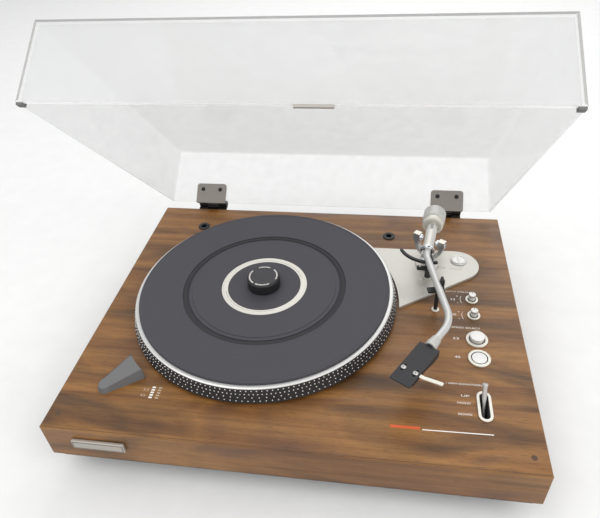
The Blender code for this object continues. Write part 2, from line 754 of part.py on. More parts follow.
def make_deck_fittings():
    """The front plate, the transit bushes and the rear terminals."""
    badge = block_mesh("front_badge", (BADGE_WIDTH, BADGE_HEIGHT, BADGE_THICKNESS), BADGE_EDGE, True)
    badge_y = -PLINTH_DEPTH / 2 - CLEAR
    dress(put("front_badge", badge, DECK, (BADGE_X, badge_y, -BADGE_DROP), (math.pi / 2, 0, 0)), SATIN_METAL, False)

    profile = [
        (BUSH_HOLE_RADIUS, BUSH_FLANGE),
        (BUSH_RADIUS, BUSH_FLANGE),
        (BUSH_RADIUS, 0),
        (BUSH_NECK_RADIUS, 0),
        (BUSH_NECK_RADIUS, -BUSH_DEPTH),
        (BUSH_HOLE_RADIUS, -BUSH_DEPTH),
    ]
    for name, place in (("transit_bush_left", BUSH_LEFT), ("transit_bush_right", BUSH_RIGHT)):
        dress(turned(name, profile, DECK, (*place, CLEAR), ring=True), BLACK_PLASTIC)

    rear = PLINTH_DEPTH / 2 + CLEAR
    width, thick, height = TERMINAL_SIZE
    board = put("rear_terminals", block_mesh("rear_terminals", TERMINAL_SIZE), DECK,
                (TERMINAL_X, rear + thick / 2, -TERMINAL_DROP - height))
    middle = (-TERMINAL_DROP - height / 2)
    backward = (-math.pi / 2, 0, 0)
    for i in range(3):
        jack = rod_mesh("jack", JACK_RADIUS, JACK_LENGTH + thick / 2)
        place = (TERMINAL_X + JACK_FIRST + i * JACK_PITCH, rear + thick / 2, middle)
        shape_with(board, tool(jack, DECK, place, backward), "UNION")
    gland = rod_mesh("gland", GLAND_RADIUS, GLAND_LENGTH + thick / 2)
    place = (TERMINAL_X + GLAND_X, rear + thick / 2, middle)
    shape_with(board, tool(gland, DECK, place, backward), "UNION")
    bore = rod_mesh("gland_bore", GLAND_BORE_RADIUS, GLAND_LENGTH + OVERRUN)
    shape_with(board, tool(bore, DECK, (place[0], rear + thick, middle), backward))
    dress(board, BLACK_PLASTIC, False)


def make_drive():
    """The bearing, spindle, platter with its mat and adapter, belt, pulley and motor."""
    axis = frame("platter_axis", DECK, (*PLATTER_PLACE, 0))
    cup_floor = -BEARING_DEPTH + BEARING_FLOOR
    bore = SPINDLE_SHAFT_RADIUS + CLEAR
    housing = [
        (0, cup_floor),
        (bore, cup_floor),
        (bore, BEARING_TOP),
        (BEARING_FLANGE_RADIUS, BEARING_TOP),
        (BEARING_FLANGE_RADIUS, CLEAR),
        (BEARING_TUBE_RADIUS, CLEAR),
        (BEARING_TUBE_RADIUS, -BEARING_DEPTH),
        (0, -BEARING_DEPTH),
    ]
    dress(turned("bearing_housing", housing, axis), BRASS)
    ball_bottom = cup_floor + CLEAR
    ball_top = ball_bottom + 2 * THRUST_BALL_RADIUS
    shape = bmesh.new()
    bmesh.ops.create_uvsphere(shape, u_segments=12, v_segments=8, radius=THRUST_BALL_RADIUS)
    ball = bpy.data.meshes.new("thrust_ball")
    shape.to_mesh(ball)
    shape.free()
    dress(put("thrust_ball", ball, axis, (0, 0, ball_bottom + THRUST_BALL_RADIUS)), STEEL)

    pin_top = MAT_TOP + SPINDLE_PIN_RISE
    spindle = [
        (0, pin_top),
        (SPINDLE_PIN_RADIUS - SPINDLE_PIN_EDGE, pin_top),
        (SPINDLE_PIN_RADIUS, pin_top - SPINDLE_PIN_EDGE),
        (SPINDLE_PIN_RADIUS, HUB_BOTTOM - CLEAR),
        (SPINDLE_COLLAR_RADIUS, HUB_BOTTOM - CLEAR),
        (SPINDLE_COLLAR_RADIUS, BEARING_TOP + CLEAR),
        (SPINDLE_SHAFT_RADIUS, BEARING_TOP + CLEAR),
        (SPINDLE_SHAFT_RADIUS, ball_top + CLEAR),
        (0, ball_top + CLEAR),
    ]
    dress(turned("spindle", spindle, axis), STEEL)

    hub_bore = SPINDLE_PIN_RADIUS + CLEAR
    inner_rim = PLATTER_RADIUS - PLATTER_RIM_WALL
    belt_inner = BELT_RIM_RADIUS - BELT_RIM_WALL
    recess = MAT_RADIUS + CLEAR
    platter = [
        (PLATTER_RADIUS - PLATTER_EDGE, RIM_TOP),
        (PLATTER_RADIUS, RIM_TOP - PLATTER_EDGE),
        (PLATTER_RADIUS + PLATTER_FLARE, PLATTER_GAP),
        (inner_rim, PLATTER_GAP),
        (inner_rim, WEB_BOTTOM),
        (BELT_RIM_RADIUS, WEB_BOTTOM),
        (BELT_RIM_RADIUS, BELT_RIM_BOTTOM),
        (belt_inner, BELT_RIM_BOTTOM),
        (belt_inner, WEB_BOTTOM),
        (HUB_RADIUS, WEB_BOTTOM),
        (HUB_RADIUS, HUB_BOTTOM),
        (hub_bore, HUB_BOTTOM),
        (hub_bore, WEB_TOP),
        (recess, WEB_TOP),
        (recess, RIM_TOP),
    ]
    dress(turned("platter", platter, axis, ring=True, steps=LARGE_STEPS), CAST_ALUMINIUM)

    ring_floor = MAT_TOP - TRIM_RING_SINK - CLEAR
    step = MAT_TOP - MAT_GROOVE_STEP
    groove_floor = step - MAT_GROOVE_STEP
    outer, floor_outer, floor_inner, inner = MAT_GROOVE_RADII[::-1]
    mat = [
        (hub_bore, MAT_TOP),
        (TRIM_RING_INNER - CLEAR, MAT_TOP),
        (TRIM_RING_INNER - CLEAR, ring_floor),
        (TRIM_RING_OUTER + CLEAR, ring_floor),
        (TRIM_RING_OUTER + CLEAR, MAT_TOP),
        (inner, MAT_TOP),
        (inner, step),
        (floor_inner, step),
        (floor_inner, groove_floor),
        (floor_outer, groove_floor),
        (floor_outer, step),
        (outer, step),
        (outer, MAT_TOP),
        (MAT_RADIUS - MAT_EDGE, MAT_TOP),
        (MAT_RADIUS, MAT_TOP - MAT_EDGE),
        (MAT_RADIUS, MAT_BOTTOM),
        (hub_bore, MAT_BOTTOM),
    ]
    dress(turned("platter_mat", mat, axis, ring=True, steps=LARGE_STEPS), MAT_RUBBER)
    trim = [
        (TRIM_RING_INNER, MAT_TOP),
        (TRIM_RING_OUTER, MAT_TOP),
        (TRIM_RING_OUTER, ring_floor + CLEAR),
        (TRIM_RING_INNER, ring_floor + CLEAR),
    ]
    dress(turned("mat_trim_ring", trim, axis, ring=True, steps=LARGE_STEPS // 2), SATIN_METAL)

    adapter_top = MAT_TOP + CLEAR + ADAPTER_HEIGHT
    adapter = [
        (0, adapter_top),
        (ADAPTER_RADIUS - ADAPTER_EDGE, adapter_top),
        (ADAPTER_RADIUS, adapter_top - ADAPTER_EDGE),
        (ADAPTER_RADIUS, MAT_TOP + CLEAR),
        (hub_bore, MAT_TOP + CLEAR),
        (hub_bore, pin_top + CLEAR),
        (0, pin_top + CLEAR),
    ]
    dress(turned("adapter_45", adapter, axis, steps=2 * SMALL_STEPS), BLACK_PLASTIC)

    motor_axis = frame("pulley_axis", DECK, (*motor_place(), 0))
    motor_top = CLEAR + MOTOR_FLANGE
    shaft_bore = PULLEY_SHAFT_RADIUS + CLEAR
    shaft_bottom = motor_top - PULLEY_SHAFT_DEPTH
    motor = [
        (0, shaft_bottom - CLEAR),
        (shaft_bore, shaft_bottom - CLEAR),
        (shaft_bore, motor_top),
        (MOTOR_FLANGE_RADIUS, motor_top),
        (MOTOR_FLANGE_RADIUS, CLEAR),
        (MOTOR_RADIUS, CLEAR),
        (MOTOR_RADIUS, CLEAR - MOTOR_DEPTH),
        (0, CLEAR - MOTOR_DEPTH),
    ]
    dress(turned("motor", motor, motor_axis), STEEL)
    pulley_top = PULLEY_BOTTOM + PULLEY_HEIGHT
    lip = PULLEY_RADIUS + PULLEY_LIP
    pulley = [
        (0, pulley_top),
        (lip, pulley_top),
        (lip, pulley_top - PULLEY_LIP_HEIGHT),
        (PULLEY_RADIUS, pulley_top - PULLEY_LIP_HEIGHT),
        (PULLEY_RADIUS, PULLEY_BOTTOM + PULLEY_LIP_HEIGHT),
        (lip, PULLEY_BOTTOM + PULLEY_LIP_HEIGHT),
        (lip, PULLEY_BOTTOM),
        (PULLEY_SHAFT_RADIUS, PULLEY_BOTTOM),
        (PULLEY_SHAFT_RADIUS, shaft_bottom),
        (0, shaft_bottom),
    ]
    dress(turned("motor_pulley", pulley, motor_axis), BRASS)
    make_belt(axis)


def belt_loop(gap):
    """The belt's path round both pulleys, this far from them, in the platter's frame."""
    large = BELT_RIM_RADIUS + gap
    small = PULLEY_RADIUS + gap
    wrap = math.acos((large - small) / MOTOR_DISTANCE)
    middle = MOTOR_BEARING_ANGLE
    motor = (MOTOR_DISTANCE * math.cos(middle), MOTOR_DISTANCE * math.sin(middle))
    round_motor = arc(motor, small, middle - wrap, middle + wrap, BELT_SMALL_STEPS)
    round_rim = arc((0, 0), large, middle + wrap, middle + 2 * math.pi - wrap, BELT_LARGE_STEPS)
    return round_motor + round_rim


def make_belt(axis):
    """The flat rubber belt, level with the pulley's groove."""
    middle = PULLEY_BOTTOM + PULLEY_HEIGHT / 2
    low = middle - BELT_WIDTH / 2
    high = middle + BELT_WIDTH / 2
    belt = flat("drive_belt", belt_loop(CLEAR + BELT_THICKNESS), low, high, axis)
    inside = flat("belt_inside", belt_loop(CLEAR), low - OVERRUN, high + OVERRUN, axis)
    move_to_cutters(inside)
    shape_with(belt, inside)
    dress(belt, RUBBER, False)


def make_electrics():
    """The power transformer and the control board on the tray's floor."""
    width, depth, height = TRANSFORMER_SIZE
    base = TRAY_FLOOR + CLEAR
    core = put("power_transformer", block_mesh("power_transformer", (width, depth * TRANSFORMER_CORE_SHARE, height)),
               DECK, (*TRANSFORMER_PLACE, base))
    coil = block_mesh("coil", (width * TRANSFORMER_COIL_SHARE, depth, height * TRANSFORMER_COIL_SHARE))
    lift = height * (1 - TRANSFORMER_COIL_SHARE) / 2
    shape_with(core, tool(coil, DECK, (*TRANSFORMER_PLACE, base + lift)), "UNION")
    dress(core, STEEL, False)

    x, y = BOARD_PLACE
    board = put("control_board", block_mesh("control_board", BOARD_SIZE), DECK, (x, y, base + BOARD_RISE))
    for side_x in (-1, 1):
        for side_y in (-1, 1):
            post = rod_mesh("board_post", BOARD_POST_RADIUS, BOARD_RISE + BOARD_SIZE[2] / 2, 8)
            place = (x + side_x * BOARD_SIZE[0] * BOARD_POST_SHARE, y + side_y * BOARD_SIZE[1] * BOARD_POST_SHARE, base)
            shape_with(board, tool(post, DECK, place), "UNION")
    dress(board, GREEN_BOARD, False)


def make_strobe():
    """The wedge-shaped housing of the strobe lamp, and the lamp in its window."""
    wedge = frame("strobe_direction", DECK, (*PLATTER_PLACE, 0), (0, 0, STROBE_BEARING_ANGLE))
    half_turn = math.asin(STROBE_WIDTH / 2 / STROBE_START)
    tip = STROBE_TIP_WIDTH / 2
    end = STROBE_START + STROBE_LENGTH - tip
    outline = arc((0, 0), STROBE_START, half_turn, -half_turn, ARC_STEPS)
    outline += arc((end, 0), tip, -math.pi / 2, math.pi / 2, 2 * ARC_STEPS)
    housing = flat("strobe_housing", outline, CLEAR, STROBE_HEIGHT, wedge)
    slope = (STROBE_HEIGHT - STROBE_TIP_HEIGHT) / STROBE_LENGTH
    for vertex in housing.data.vertices:
        place = vertex.co
        if place.z > STROBE_HEIGHT / 2:
            out = place.x - STROBE_START
            place.z = STROBE_HEIGHT - max(out, 0) * slope
            place.y -= math.copysign(STROBE_DRAFT, place.y) * min(1, abs(place.y) / tip)
            place.x -= STROBE_DRAFT * max(out, 0) / STROBE_LENGTH
    window = block_mesh("strobe_window", (2 * STROBE_WINDOW_DEPTH, STROBE_WINDOW_WIDTH, STROBE_WINDOW_HEIGHT))
    shape_with(housing, tool(window, wedge, (STROBE_START, 0, STROBE_WINDOW_SILL)))
    dress(housing, DARK_GREY, False)
    lamp = rod_mesh("strobe_lamp", LAMP_RADIUS, LAMP_LENGTH, 12)
    back = STROBE_START + STROBE_WINDOW_DEPTH - LAMP_RADIUS - CLEAR
    place = (back, LAMP_LENGTH / 2, STROBE_WINDOW_SILL + CLEAR + LAMP_RADIUS)
    dress(put("strobe_lamp", lamp, wedge, place, (math.pi / 2, 0, 0)), NEON)


def make_controls():
    """Speed trimmers, speed buttons and the cueing lever."""
    ring = [
        (TRIM_KNOB_RADIUS + CLEAR, TRIM_BEZEL_HEIGHT),
        (TRIM_BEZEL_RADIUS, TRIM_BEZEL_HEIGHT),
        (TRIM_BEZEL_RADIUS, 0),
        (TRIM_KNOB_RADIUS + CLEAR, 0),
    ]
    for name, place in zip(("trim_bezel_33", "trim_bezel_45"), TRIM_PLACES):
        dress(turned(name, ring, DECK, (*place, CLEAR), ring=True), SATIN_METAL)
    pot_top = -DECK_THICKNESS - CLEAR
    shaft_bottom = pot_top - TRIM_SHAFT_SINK
    knob_base = 2 * CLEAR
    knob_top = knob_base + TRIM_KNOB_HEIGHT
    for name, place in zip(("speed_trim_knob_33", "speed_trim_knob_45"), TRIM_PLACES):
        knob = [
            (0, knob_top),
            (TRIM_KNOB_RADIUS - TRIM_KNOB_EDGE, knob_top),
            (TRIM_KNOB_RADIUS, knob_top - TRIM_KNOB_EDGE),
            (TRIM_KNOB_RADIUS, knob_base),
            (TRIM_SHAFT_RADIUS, knob_base),
            (TRIM_SHAFT_RADIUS, shaft_bottom),
            (0, shaft_bottom),
        ]
        dress(turned(name, knob, DECK, (*place, 0), steps=SMALL_STEPS), SATIN_METAL)
    low = pot_top - TRIM_POT_HEIGHT
    pots = put("trim_potentiometers", block_mesh("trim_potentiometers", (TRIM_POT_RADIUS, TRIM_PITCH, TRIM_POT_BAR)),
               DECK, (CONTROL_X, TRIM_FIRST_Y - TRIM_PITCH / 2, low))
    for place in TRIM_PLACES:
        can = rod_mesh("trim_pot", TRIM_POT_RADIUS, TRIM_POT_HEIGHT)
        shape_with(pots, tool(can, DECK, (*place, low)), "UNION")
    drill(pots, DECK, TRIM_PLACES, TRIM_SHAFT_RADIUS + CLEAR, shaft_bottom - CLEAR, pot_top + OVERRUN)
    dress(pots, STEEL, False)

    ring = [
        (BUTTON_RADIUS + BUTTON_GAP, BUTTON_BEZEL_HEIGHT),
        (BUTTON_BEZEL_RADIUS, BUTTON_BEZEL_HEIGHT),
        (BUTTON_BEZEL_RADIUS, 0),
        (BUTTON_RADIUS + BUTTON_GAP, 0),
    ]
    for name, place in zip(("button_bezel_33", "button_bezel_45"), BUTTON_PLACES):
        dress(turned(name, ring, DECK, (*place, CLEAR), ring=True), SATIN_METAL)
    tops = (BUTTON_TOP + BUTTON_TRAVEL, BUTTON_TOP)
    for name, place, top in zip(("speed_button_33", "speed_button_45"), BUTTON_PLACES, tops):
        button = [
            (0, 0),
            (BUTTON_RADIUS - BUTTON_EDGE, 0),
            (BUTTON_RADIUS, -BUTTON_EDGE),
            (BUTTON_RADIUS, -BUTTON_SKIRT),
            (BUTTON_STEM_RADIUS, -BUTTON_SKIRT),
            (BUTTON_STEM_RADIUS, -BUTTON_SKIRT - BUTTON_STEM_LENGTH),
            (0, -BUTTON_SKIRT - BUTTON_STEM_LENGTH),
        ]
        dress(turned(name, button, DECK, (*place, top)), SATIN_METAL)
    block_top = -DECK_THICKNESS - CLEAR
    middle_y = BUTTON_FIRST_Y - BUTTON_PITCH / 2
    block = put("switch_block", block_mesh("switch_block", SWITCH_BLOCK_SIZE), DECK,
                (CONTROL_X, middle_y, block_top - SWITCH_BLOCK_SIZE[2]))
    low = block_top - SWITCH_BLOCK_SIZE[2] - OVERRUN
    drill(block, DECK, BUTTON_PLACES, BUTTON_STEM_RADIUS + CLEAR, low, block_top + OVERRUN)
    dress(block, BLACK_PLASTIC, False)
    make_lever_bezel()
    make_lever()


def make_lever_bezel():
    """The flat ring round the lever's slot."""
    outer = stadium(SLOT_WIDTH + 2 * SLOT_BEZEL_BORDER, SLOT_LENGTH + 2 * SLOT_BEZEL_BORDER)
    bezel = flat("lever_bezel", outer, CLEAR, CLEAR + SLOT_BEZEL_HEIGHT, DECK, (*LEVER_PLACE, 0))
    hole = flat("bezel_hole", stadium(SLOT_WIDTH, SLOT_LENGTH), -OVERRUN, SLOT_BEZEL_HEIGHT + OVERRUN, DECK,
                (*LEVER_PLACE, 0))
    move_to_cutters(hole)
    shape_with(bezel, hole)
    dress(bezel, SATIN_METAL, False)


def make_lever():
    """The cueing lever on its axle, and the bracket that hangs under the deck."""
    axle = frame("lever_axle", DECK, (*LEVER_AXLE_PLACE, -LEVER_AXLE_DROP), (-LEVER_LEAN, 0, 0))
    lever = put("cue_lever", rod_mesh("cue_lever", LEVER_FOOT_RADIUS, LEVER_RISE, 12, LEVER_TOP_RADIUS), axle)
    boss_length = SLOT_WIDTH - 2 * CLEAR
    sideways = (0, math.pi / 2, 0)
    boss = rod_mesh("lever_boss", LEVER_BOSS_RADIUS, boss_length)
    shape_with(lever, tool(boss, axle, (-boss_length / 2, 0, 0), sideways), "UNION")
    bore = rod_mesh("lever_bore", LEVER_AXLE_RADIUS + CLEAR, boss_length + 2 * OVERRUN)
    shape_with(lever, tool(bore, axle, (-boss_length / 2 - OVERRUN, 0, 0), sideways))
    dress(lever, CHROME)

    bracket_top = -DECK_THICKNESS - CLEAR
    gap = SLOT_WIDTH + 2 * CLEAR
    width = gap + 2 * BRACKET_CHEEK
    bracket = put("lever_bracket", block_mesh("lever_bracket", (width, BRACKET_CHEEK_LENGTH, BRACKET_DEPTH)), DECK,
                  (*LEVER_AXLE_PLACE, bracket_top - BRACKET_DEPTH))
    room = block_mesh("bracket_room", (gap - 2 * CLEAR, BRACKET_CHEEK_LENGTH + OVERRUN, BRACKET_DEPTH + 2 * OVERRUN))
    shape_with(bracket, tool(room, DECK, (*LEVER_AXLE_PLACE, bracket_top - BRACKET_DEPTH - OVERRUN)))
    rod = rod_mesh("lever_axle_rod", LEVER_AXLE_RADIUS, width - BRACKET_CHEEK)
    place = (LEVER_AXLE_PLACE[0] - (width - BRACKET_CHEEK) / 2, LEVER_AXLE_PLACE[1], -LEVER_AXLE_DROP)
    shape_with(bracket, tool(rod, DECK, place, sideways), "UNION")
    dress(bracket, STEEL, False)


def make_arm_base():
    """The plate under the arm, the pillar, the cue lift, the arm rest and the anti-skate dial."""
    plate = flat("arm_plate", arm_plate_outline(), CLEAR, ARM_PLATE_TOP, DECK)
    drill(plate, DECK, [ARM_PLACE], PILLAR_NECK_RADIUS + CLEAR, -OVERRUN, ARM_PLATE_TOP + OVERRUN)
    drill(plate, DECK, [ANTI_SKATE_PLACE], ANTI_SKATE_SHAFT_RADIUS + CLEAR, -OVERRUN, ARM_PLATE_TOP + OVERRUN)
    dress(plate, SATIN_PLATE, False)

    base = ARM_PLATE_TOP + CLEAR
    pillar = [
        (PILLAR_BORE_RADIUS, PILLAR_TOP),
        (PILLAR_RADIUS, PILLAR_TOP),
        (PILLAR_RADIUS, base + PILLAR_FLANGE),
        (PILLAR_FLANGE_RADIUS, base + PILLAR_FLANGE),
        (PILLAR_FLANGE_RADIUS, base),
        (PILLAR_NECK_RADIUS, base),
        (PILLAR_NECK_RADIUS, PILLAR_TOP - PILLAR_DEPTH),
        (PILLAR_BORE_RADIUS, PILLAR_TOP - PILLAR_DEPTH),
    ]
    dress(turned("arm_pillar", pillar, DECK, (*ARM_PLACE, 0), ring=True), CHROME)

    dial_top = base + ANTI_SKATE_HEIGHT
    dial = [
        (0, dial_top),
        (ANTI_SKATE_GRIP_RADIUS - ANTI_SKATE_EDGE, dial_top),
        (ANTI_SKATE_GRIP_RADIUS, dial_top - ANTI_SKATE_EDGE),
        (ANTI_SKATE_GRIP_RADIUS, base + ANTI_SKATE_SKIRT),
        (ANTI_SKATE_RADIUS, base + ANTI_SKATE_SKIRT),
        (ANTI_SKATE_RADIUS, base),
        (ANTI_SKATE_SHAFT_RADIUS, base),
        (ANTI_SKATE_SHAFT_RADIUS, -ANTI_SKATE_SHAFT_DEPTH),
        (0, -ANTI_SKATE_SHAFT_DEPTH),
    ]
    dress(turned("anti_skate_dial", dial, DECK, (*ANTI_SKATE_PLACE, 0)), SATIN_METAL)
    make_cue_lift(base)
    make_arm_rest()


def cue_outline():
    """The lift bar: an arc about the arm's pivot, with a tab that reaches in to the plunger."""
    outer = CUE_ARC_RADIUS + CUE_BAR_WIDTH / 2
    inner = CUE_ARC_RADIUS - CUE_BAR_WIDTH / 2
    after = CUE_TAB_ANGLE - CUE_TAB_HALF_ANGLE
    before = CUE_TAB_ANGLE + CUE_TAB_HALF_ANGLE
    points = arc((0, 0), outer, CUE_FIRST_ANGLE, CUE_LAST_ANGLE, CUE_ARC_STEPS)
    points += arc((0, 0), inner, CUE_LAST_ANGLE, after, CUE_ARC_STEPS)
    points += arc((0, 0), CUE_TAB_END, after, before, 2)
    return points + arc((0, 0), inner, before, CUE_FIRST_ANGLE, 2)


def make_cue_lift(base):
    """The black lift bar on its plunger, and the guide that the plunger slides in."""
    pivot = (*ARM_PLACE, 0)
    bar = flat("cue_platform", cue_outline(), CUE_BAR_BOTTOM, CUE_BAR_TOP, DECK, pivot)
    x = ARM_PLACE[0] + CUE_TAB_RADIUS * math.cos(CUE_TAB_ANGLE)
    y = ARM_PLACE[1] + CUE_TAB_RADIUS * math.sin(CUE_TAB_ANGLE)
    length = CUE_BAR_TOP - CUE_BAR_HEIGHT / 2 - CUE_PLUNGER_BOTTOM - CUE_TRAVEL
    plunger = rod_mesh("cue_plunger", CUE_PLUNGER_RADIUS, length, 12)
    bottom = CUE_PLUNGER_BOTTOM + CUE_TRAVEL
    shape_with(bar, tool(plunger, DECK, (x, y, bottom)), "UNION")
    dress(bar, BLACK_PLASTIC, False)
    guide_top = CUE_BAR_BOTTOM - CUE_TRAVEL - CLEAR
    bore = CUE_PLUNGER_RADIUS + CLEAR
    guide = [
        (bore, guide_top),
        (CUE_GUIDE_RADIUS, guide_top),
        (CUE_GUIDE_RADIUS, base + CUE_GUIDE_FLANGE),
        (CUE_GUIDE_FLANGE_RADIUS, base + CUE_GUIDE_FLANGE),
        (CUE_GUIDE_FLANGE_RADIUS, base),
        (bore, base),
    ]
    dress(turned("cue_lift_guide", guide, DECK, (x, y, 0), ring=True, steps=SMALL_STEPS), BLACK_PLASTIC)


def make_arm_rest():
    """The arm rest: a cradle with a low left side and a tall right prong, on a thin post."""
    spot = frame("arm_rest_spot", DECK, (*REST_PLACE, ARM_HEIGHT), (0, 0, REST_TURN))
    side = TUBE_RADIUS + CLEAR
    floor_top = -side - REST_DROP
    floor_bottom = floor_top - REST_FLOOR
    outline = [
        (-REST_LEFT, floor_bottom),
        (side + REST_WALL, floor_bottom),
        (side + REST_WALL, REST_PRONG + REST_WALL),
        (side + REST_LIP, REST_PRONG + REST_WALL),
        (side, REST_PRONG),
        (side, floor_top),
        (-REST_LEFT, floor_top),
    ]
    rest = flat("arm_rest", outline, -REST_LENGTH / 2, REST_LENGTH / 2, spot, (0, 0, 0), (math.pi / 2, 0, 0))
    post_length = ARM_HEIGHT + floor_bottom + REST_FLOOR / 2 + REST_POST_DEPTH
    post = rod_mesh("rest_post", REST_POST_RADIUS, post_length, 12)
    shape_with(rest, tool(post, spot, (REST_POST_OFFSET, 0, -ARM_HEIGHT - REST_POST_DEPTH)), "UNION")
    collar = rod_mesh("rest_collar", REST_COLLAR_RADIUS, REST_COLLAR_HEIGHT)
    shape_with(rest, tool(collar, spot, (REST_POST_OFFSET, 0, CLEAR - ARM_HEIGHT)), "UNION")
    dress(rest, BLACK_PLASTIC, False)


def make_arm():
    """The yoke that swings, and all that tilts in it."""
    swing = frame("arm_swing_axis", DECK, (*ARM_PLACE, ARM_HEIGHT), (0, 0, ARM_HEADING))
    make_yoke(frame("arm_yoke_turn", swing, turn=(0, 0, YOKE_TURN)))
    tilt = frame("arm_tilt_axis", swing)
    along = (-math.pi / 2, 0, 0)

    front = -SLEEVE_FRONT
    collar_back = front + SLEEVE_COLLAR_INSET + SLEEVE_COLLAR_LENGTH
    sleeve = [
        (0, STUB_LENGTH),
        (STUB_RADIUS, STUB_LENGTH),
        (STUB_RADIUS, SLEEVE_BACK),
        (SLEEVE_RADIUS, SLEEVE_BACK),
        (SLEEVE_RADIUS, collar_back),
        (SLEEVE_COLLAR_RADIUS, collar_back),
        (SLEEVE_COLLAR_RADIUS, front + SLEEVE_COLLAR_INSET),
        (SLEEVE_RADIUS, front),
        (TUBE_RADIUS + CLEAR, front),
        (TUBE_RADIUS + CLEAR, front + SLEEVE_SOCKET_DEPTH),
        (0, front + SLEEVE_SOCKET_DEPTH),
    ]
    dress(turned("arm_sleeve", sleeve, tilt, turn=along), CHROME)

    dial_end = DIAL_START + DIAL_LENGTH
    bore = STUB_RADIUS + CLEAR
    dial = [
        (bore, dial_end),
        (DIAL_RADIUS, dial_end),
        (DIAL_RADIUS, DIAL_START + PULLEY_LIP),
        (DIAL_RADIUS - PULLEY_LIP, DIAL_START),
        (bore, DIAL_START),
    ]
    dress(turned("force_dial", dial, tilt, turn=along, ring=True, steps=2 * SMALL_STEPS), SATIN_METAL)
    start = dial_end + CLEAR
    end = start + WEIGHT_LENGTH
    weight = [
        (0, end),
        (WEIGHT_RADIUS - WEIGHT_EDGE, end),
        (WEIGHT_RADIUS, end - WEIGHT_EDGE),
        (WEIGHT_RADIUS, start + WEIGHT_EDGE),
        (WEIGHT_RADIUS - WEIGHT_EDGE, start),
        (bore, start),
        (bore, end - WEIGHT_BACK),
        (0, end - WEIGHT_BACK),
    ]
    dress(turned("counterweight", weight, tilt, turn=along, steps=2 * SMALL_STEPS), SATIN_METAL)

    tube = bpy.data.curves.new("arm_tube", "CURVE")
    tube.dimensions = "3D"
    tube.bevel_depth = TUBE_RADIUS
    tube.bevel_resolution = 2
    tube.use_fill_caps = True
    points = tube_points()
    line = tube.splines.new("POLY")
    line.points.add(len(points) - 1)
    for point, (x, y) in zip(line.points, points):
        point.co = (x, y, 0, 1)
    dress(put("arm_tube", tube, tilt), CHROME)
    make_headshell(tilt)


def make_yoke(swing):
    """The U-shaped fork on its upright shaft, and the two pivot screws."""
    outer = YOKE_OUTER_RADIUS
    inner = outer - YOKE_STRAP
    middle = YOKE_BOTTOM + outer - ARM_HEIGHT
    reach = (outer + inner) / 2 + YOKE_BLOCK_WIDTH / 2
    outline = arc((0, middle), outer, math.pi, 2 * math.pi, YOKE_ARC_STEPS) + [(outer, 0), (inner, 0)]
    outline += arc((0, middle), inner, 2 * math.pi, math.pi, YOKE_ARC_STEPS) + [(-inner, 0), (-outer, 0)]
    half = YOKE_THICKNESS / 2
    yoke = flat("arm_yoke", outline, -half, half, swing, (0, 0, 0), (math.pi / 2, 0, 0))
    for side in (-1, 1):
        head = block_mesh("yoke_head", (YOKE_BLOCK_WIDTH, YOKE_THICKNESS + 2 * MERGE, YOKE_BLOCK_HEIGHT))
        place = (side * (outer + inner) / 2, 0, YOKE_TOP - YOKE_BLOCK_HEIGHT)
        shape_with(yoke, tool(head, swing, place), "UNION")
    bottom = PILLAR_TOP - PILLAR_DEPTH
    top = YOKE_BOTTOM + YOKE_STRAP / 2
    shaft = rod_mesh("yoke_shaft", PILLAR_BORE_RADIUS - CLEAR, top - bottom)
    shape_with(yoke, tool(shaft, swing, (0, 0, bottom - ARM_HEIGHT)), "UNION")
    sideways = (0, math.pi / 2, 0)
    hole = rod_mesh("yoke_hole", PIVOT_SCREW_RADIUS + CLEAR, 2 * (reach + OVERRUN))
    shape_with(yoke, tool(hole, swing, (-reach - OVERRUN, 0, 0), sideways))
    dress(yoke, CHROME, False)

    nearest = SLEEVE_RADIUS + CLEAR + PIVOT_SCREW_RADIUS * abs(math.sin(YOKE_TURN))
    start = nearest / math.cos(YOKE_TURN)
    length = reach + PIVOT_SCREW_STAND - start
    for name, place in (("arm_pivot_screw_right", start), ("arm_pivot_screw_left", -start - length)):
        mesh = rod_mesh(name, PIVOT_SCREW_RADIUS, length)
        dress(put(name, mesh, swing, (place, 0, 0), sideways), STEEL)


def tube_points():
    """The S-shaped tube's centre line: three straight runs with two round bends."""
    first, second, end = arm_corner_points()
    start = Vector((0, -SLEEVE_FRONT + SLEEVE_SOCKET_DEPTH - CLEAR))
    points = [start]
    points += bend(start, first, second, TUBE_FIRST_RADIUS)
    points += bend(first, second, end, TUBE_SECOND_RADIUS)
    points.append(end)
    return points


def bend(before, corner, after, radius):
    """Points along the round bend that replaces a corner of the tube's route."""
    into = (corner - before).normalized()
    out = (after - corner).normalized()
    turn = into.angle_signed(out)
    side = -math.copysign(1, turn)
    cut = radius * math.tan(abs(turn) / 2)
    normal = Vector((-into.y, into.x)) * side
    centre = corner - into * cut + normal * radius
    first = math.atan2(-normal.y, -normal.x)
    return [Vector(point) for point in arc(centre, radius, first, first - turn, TUBE_BEND_STEPS)]


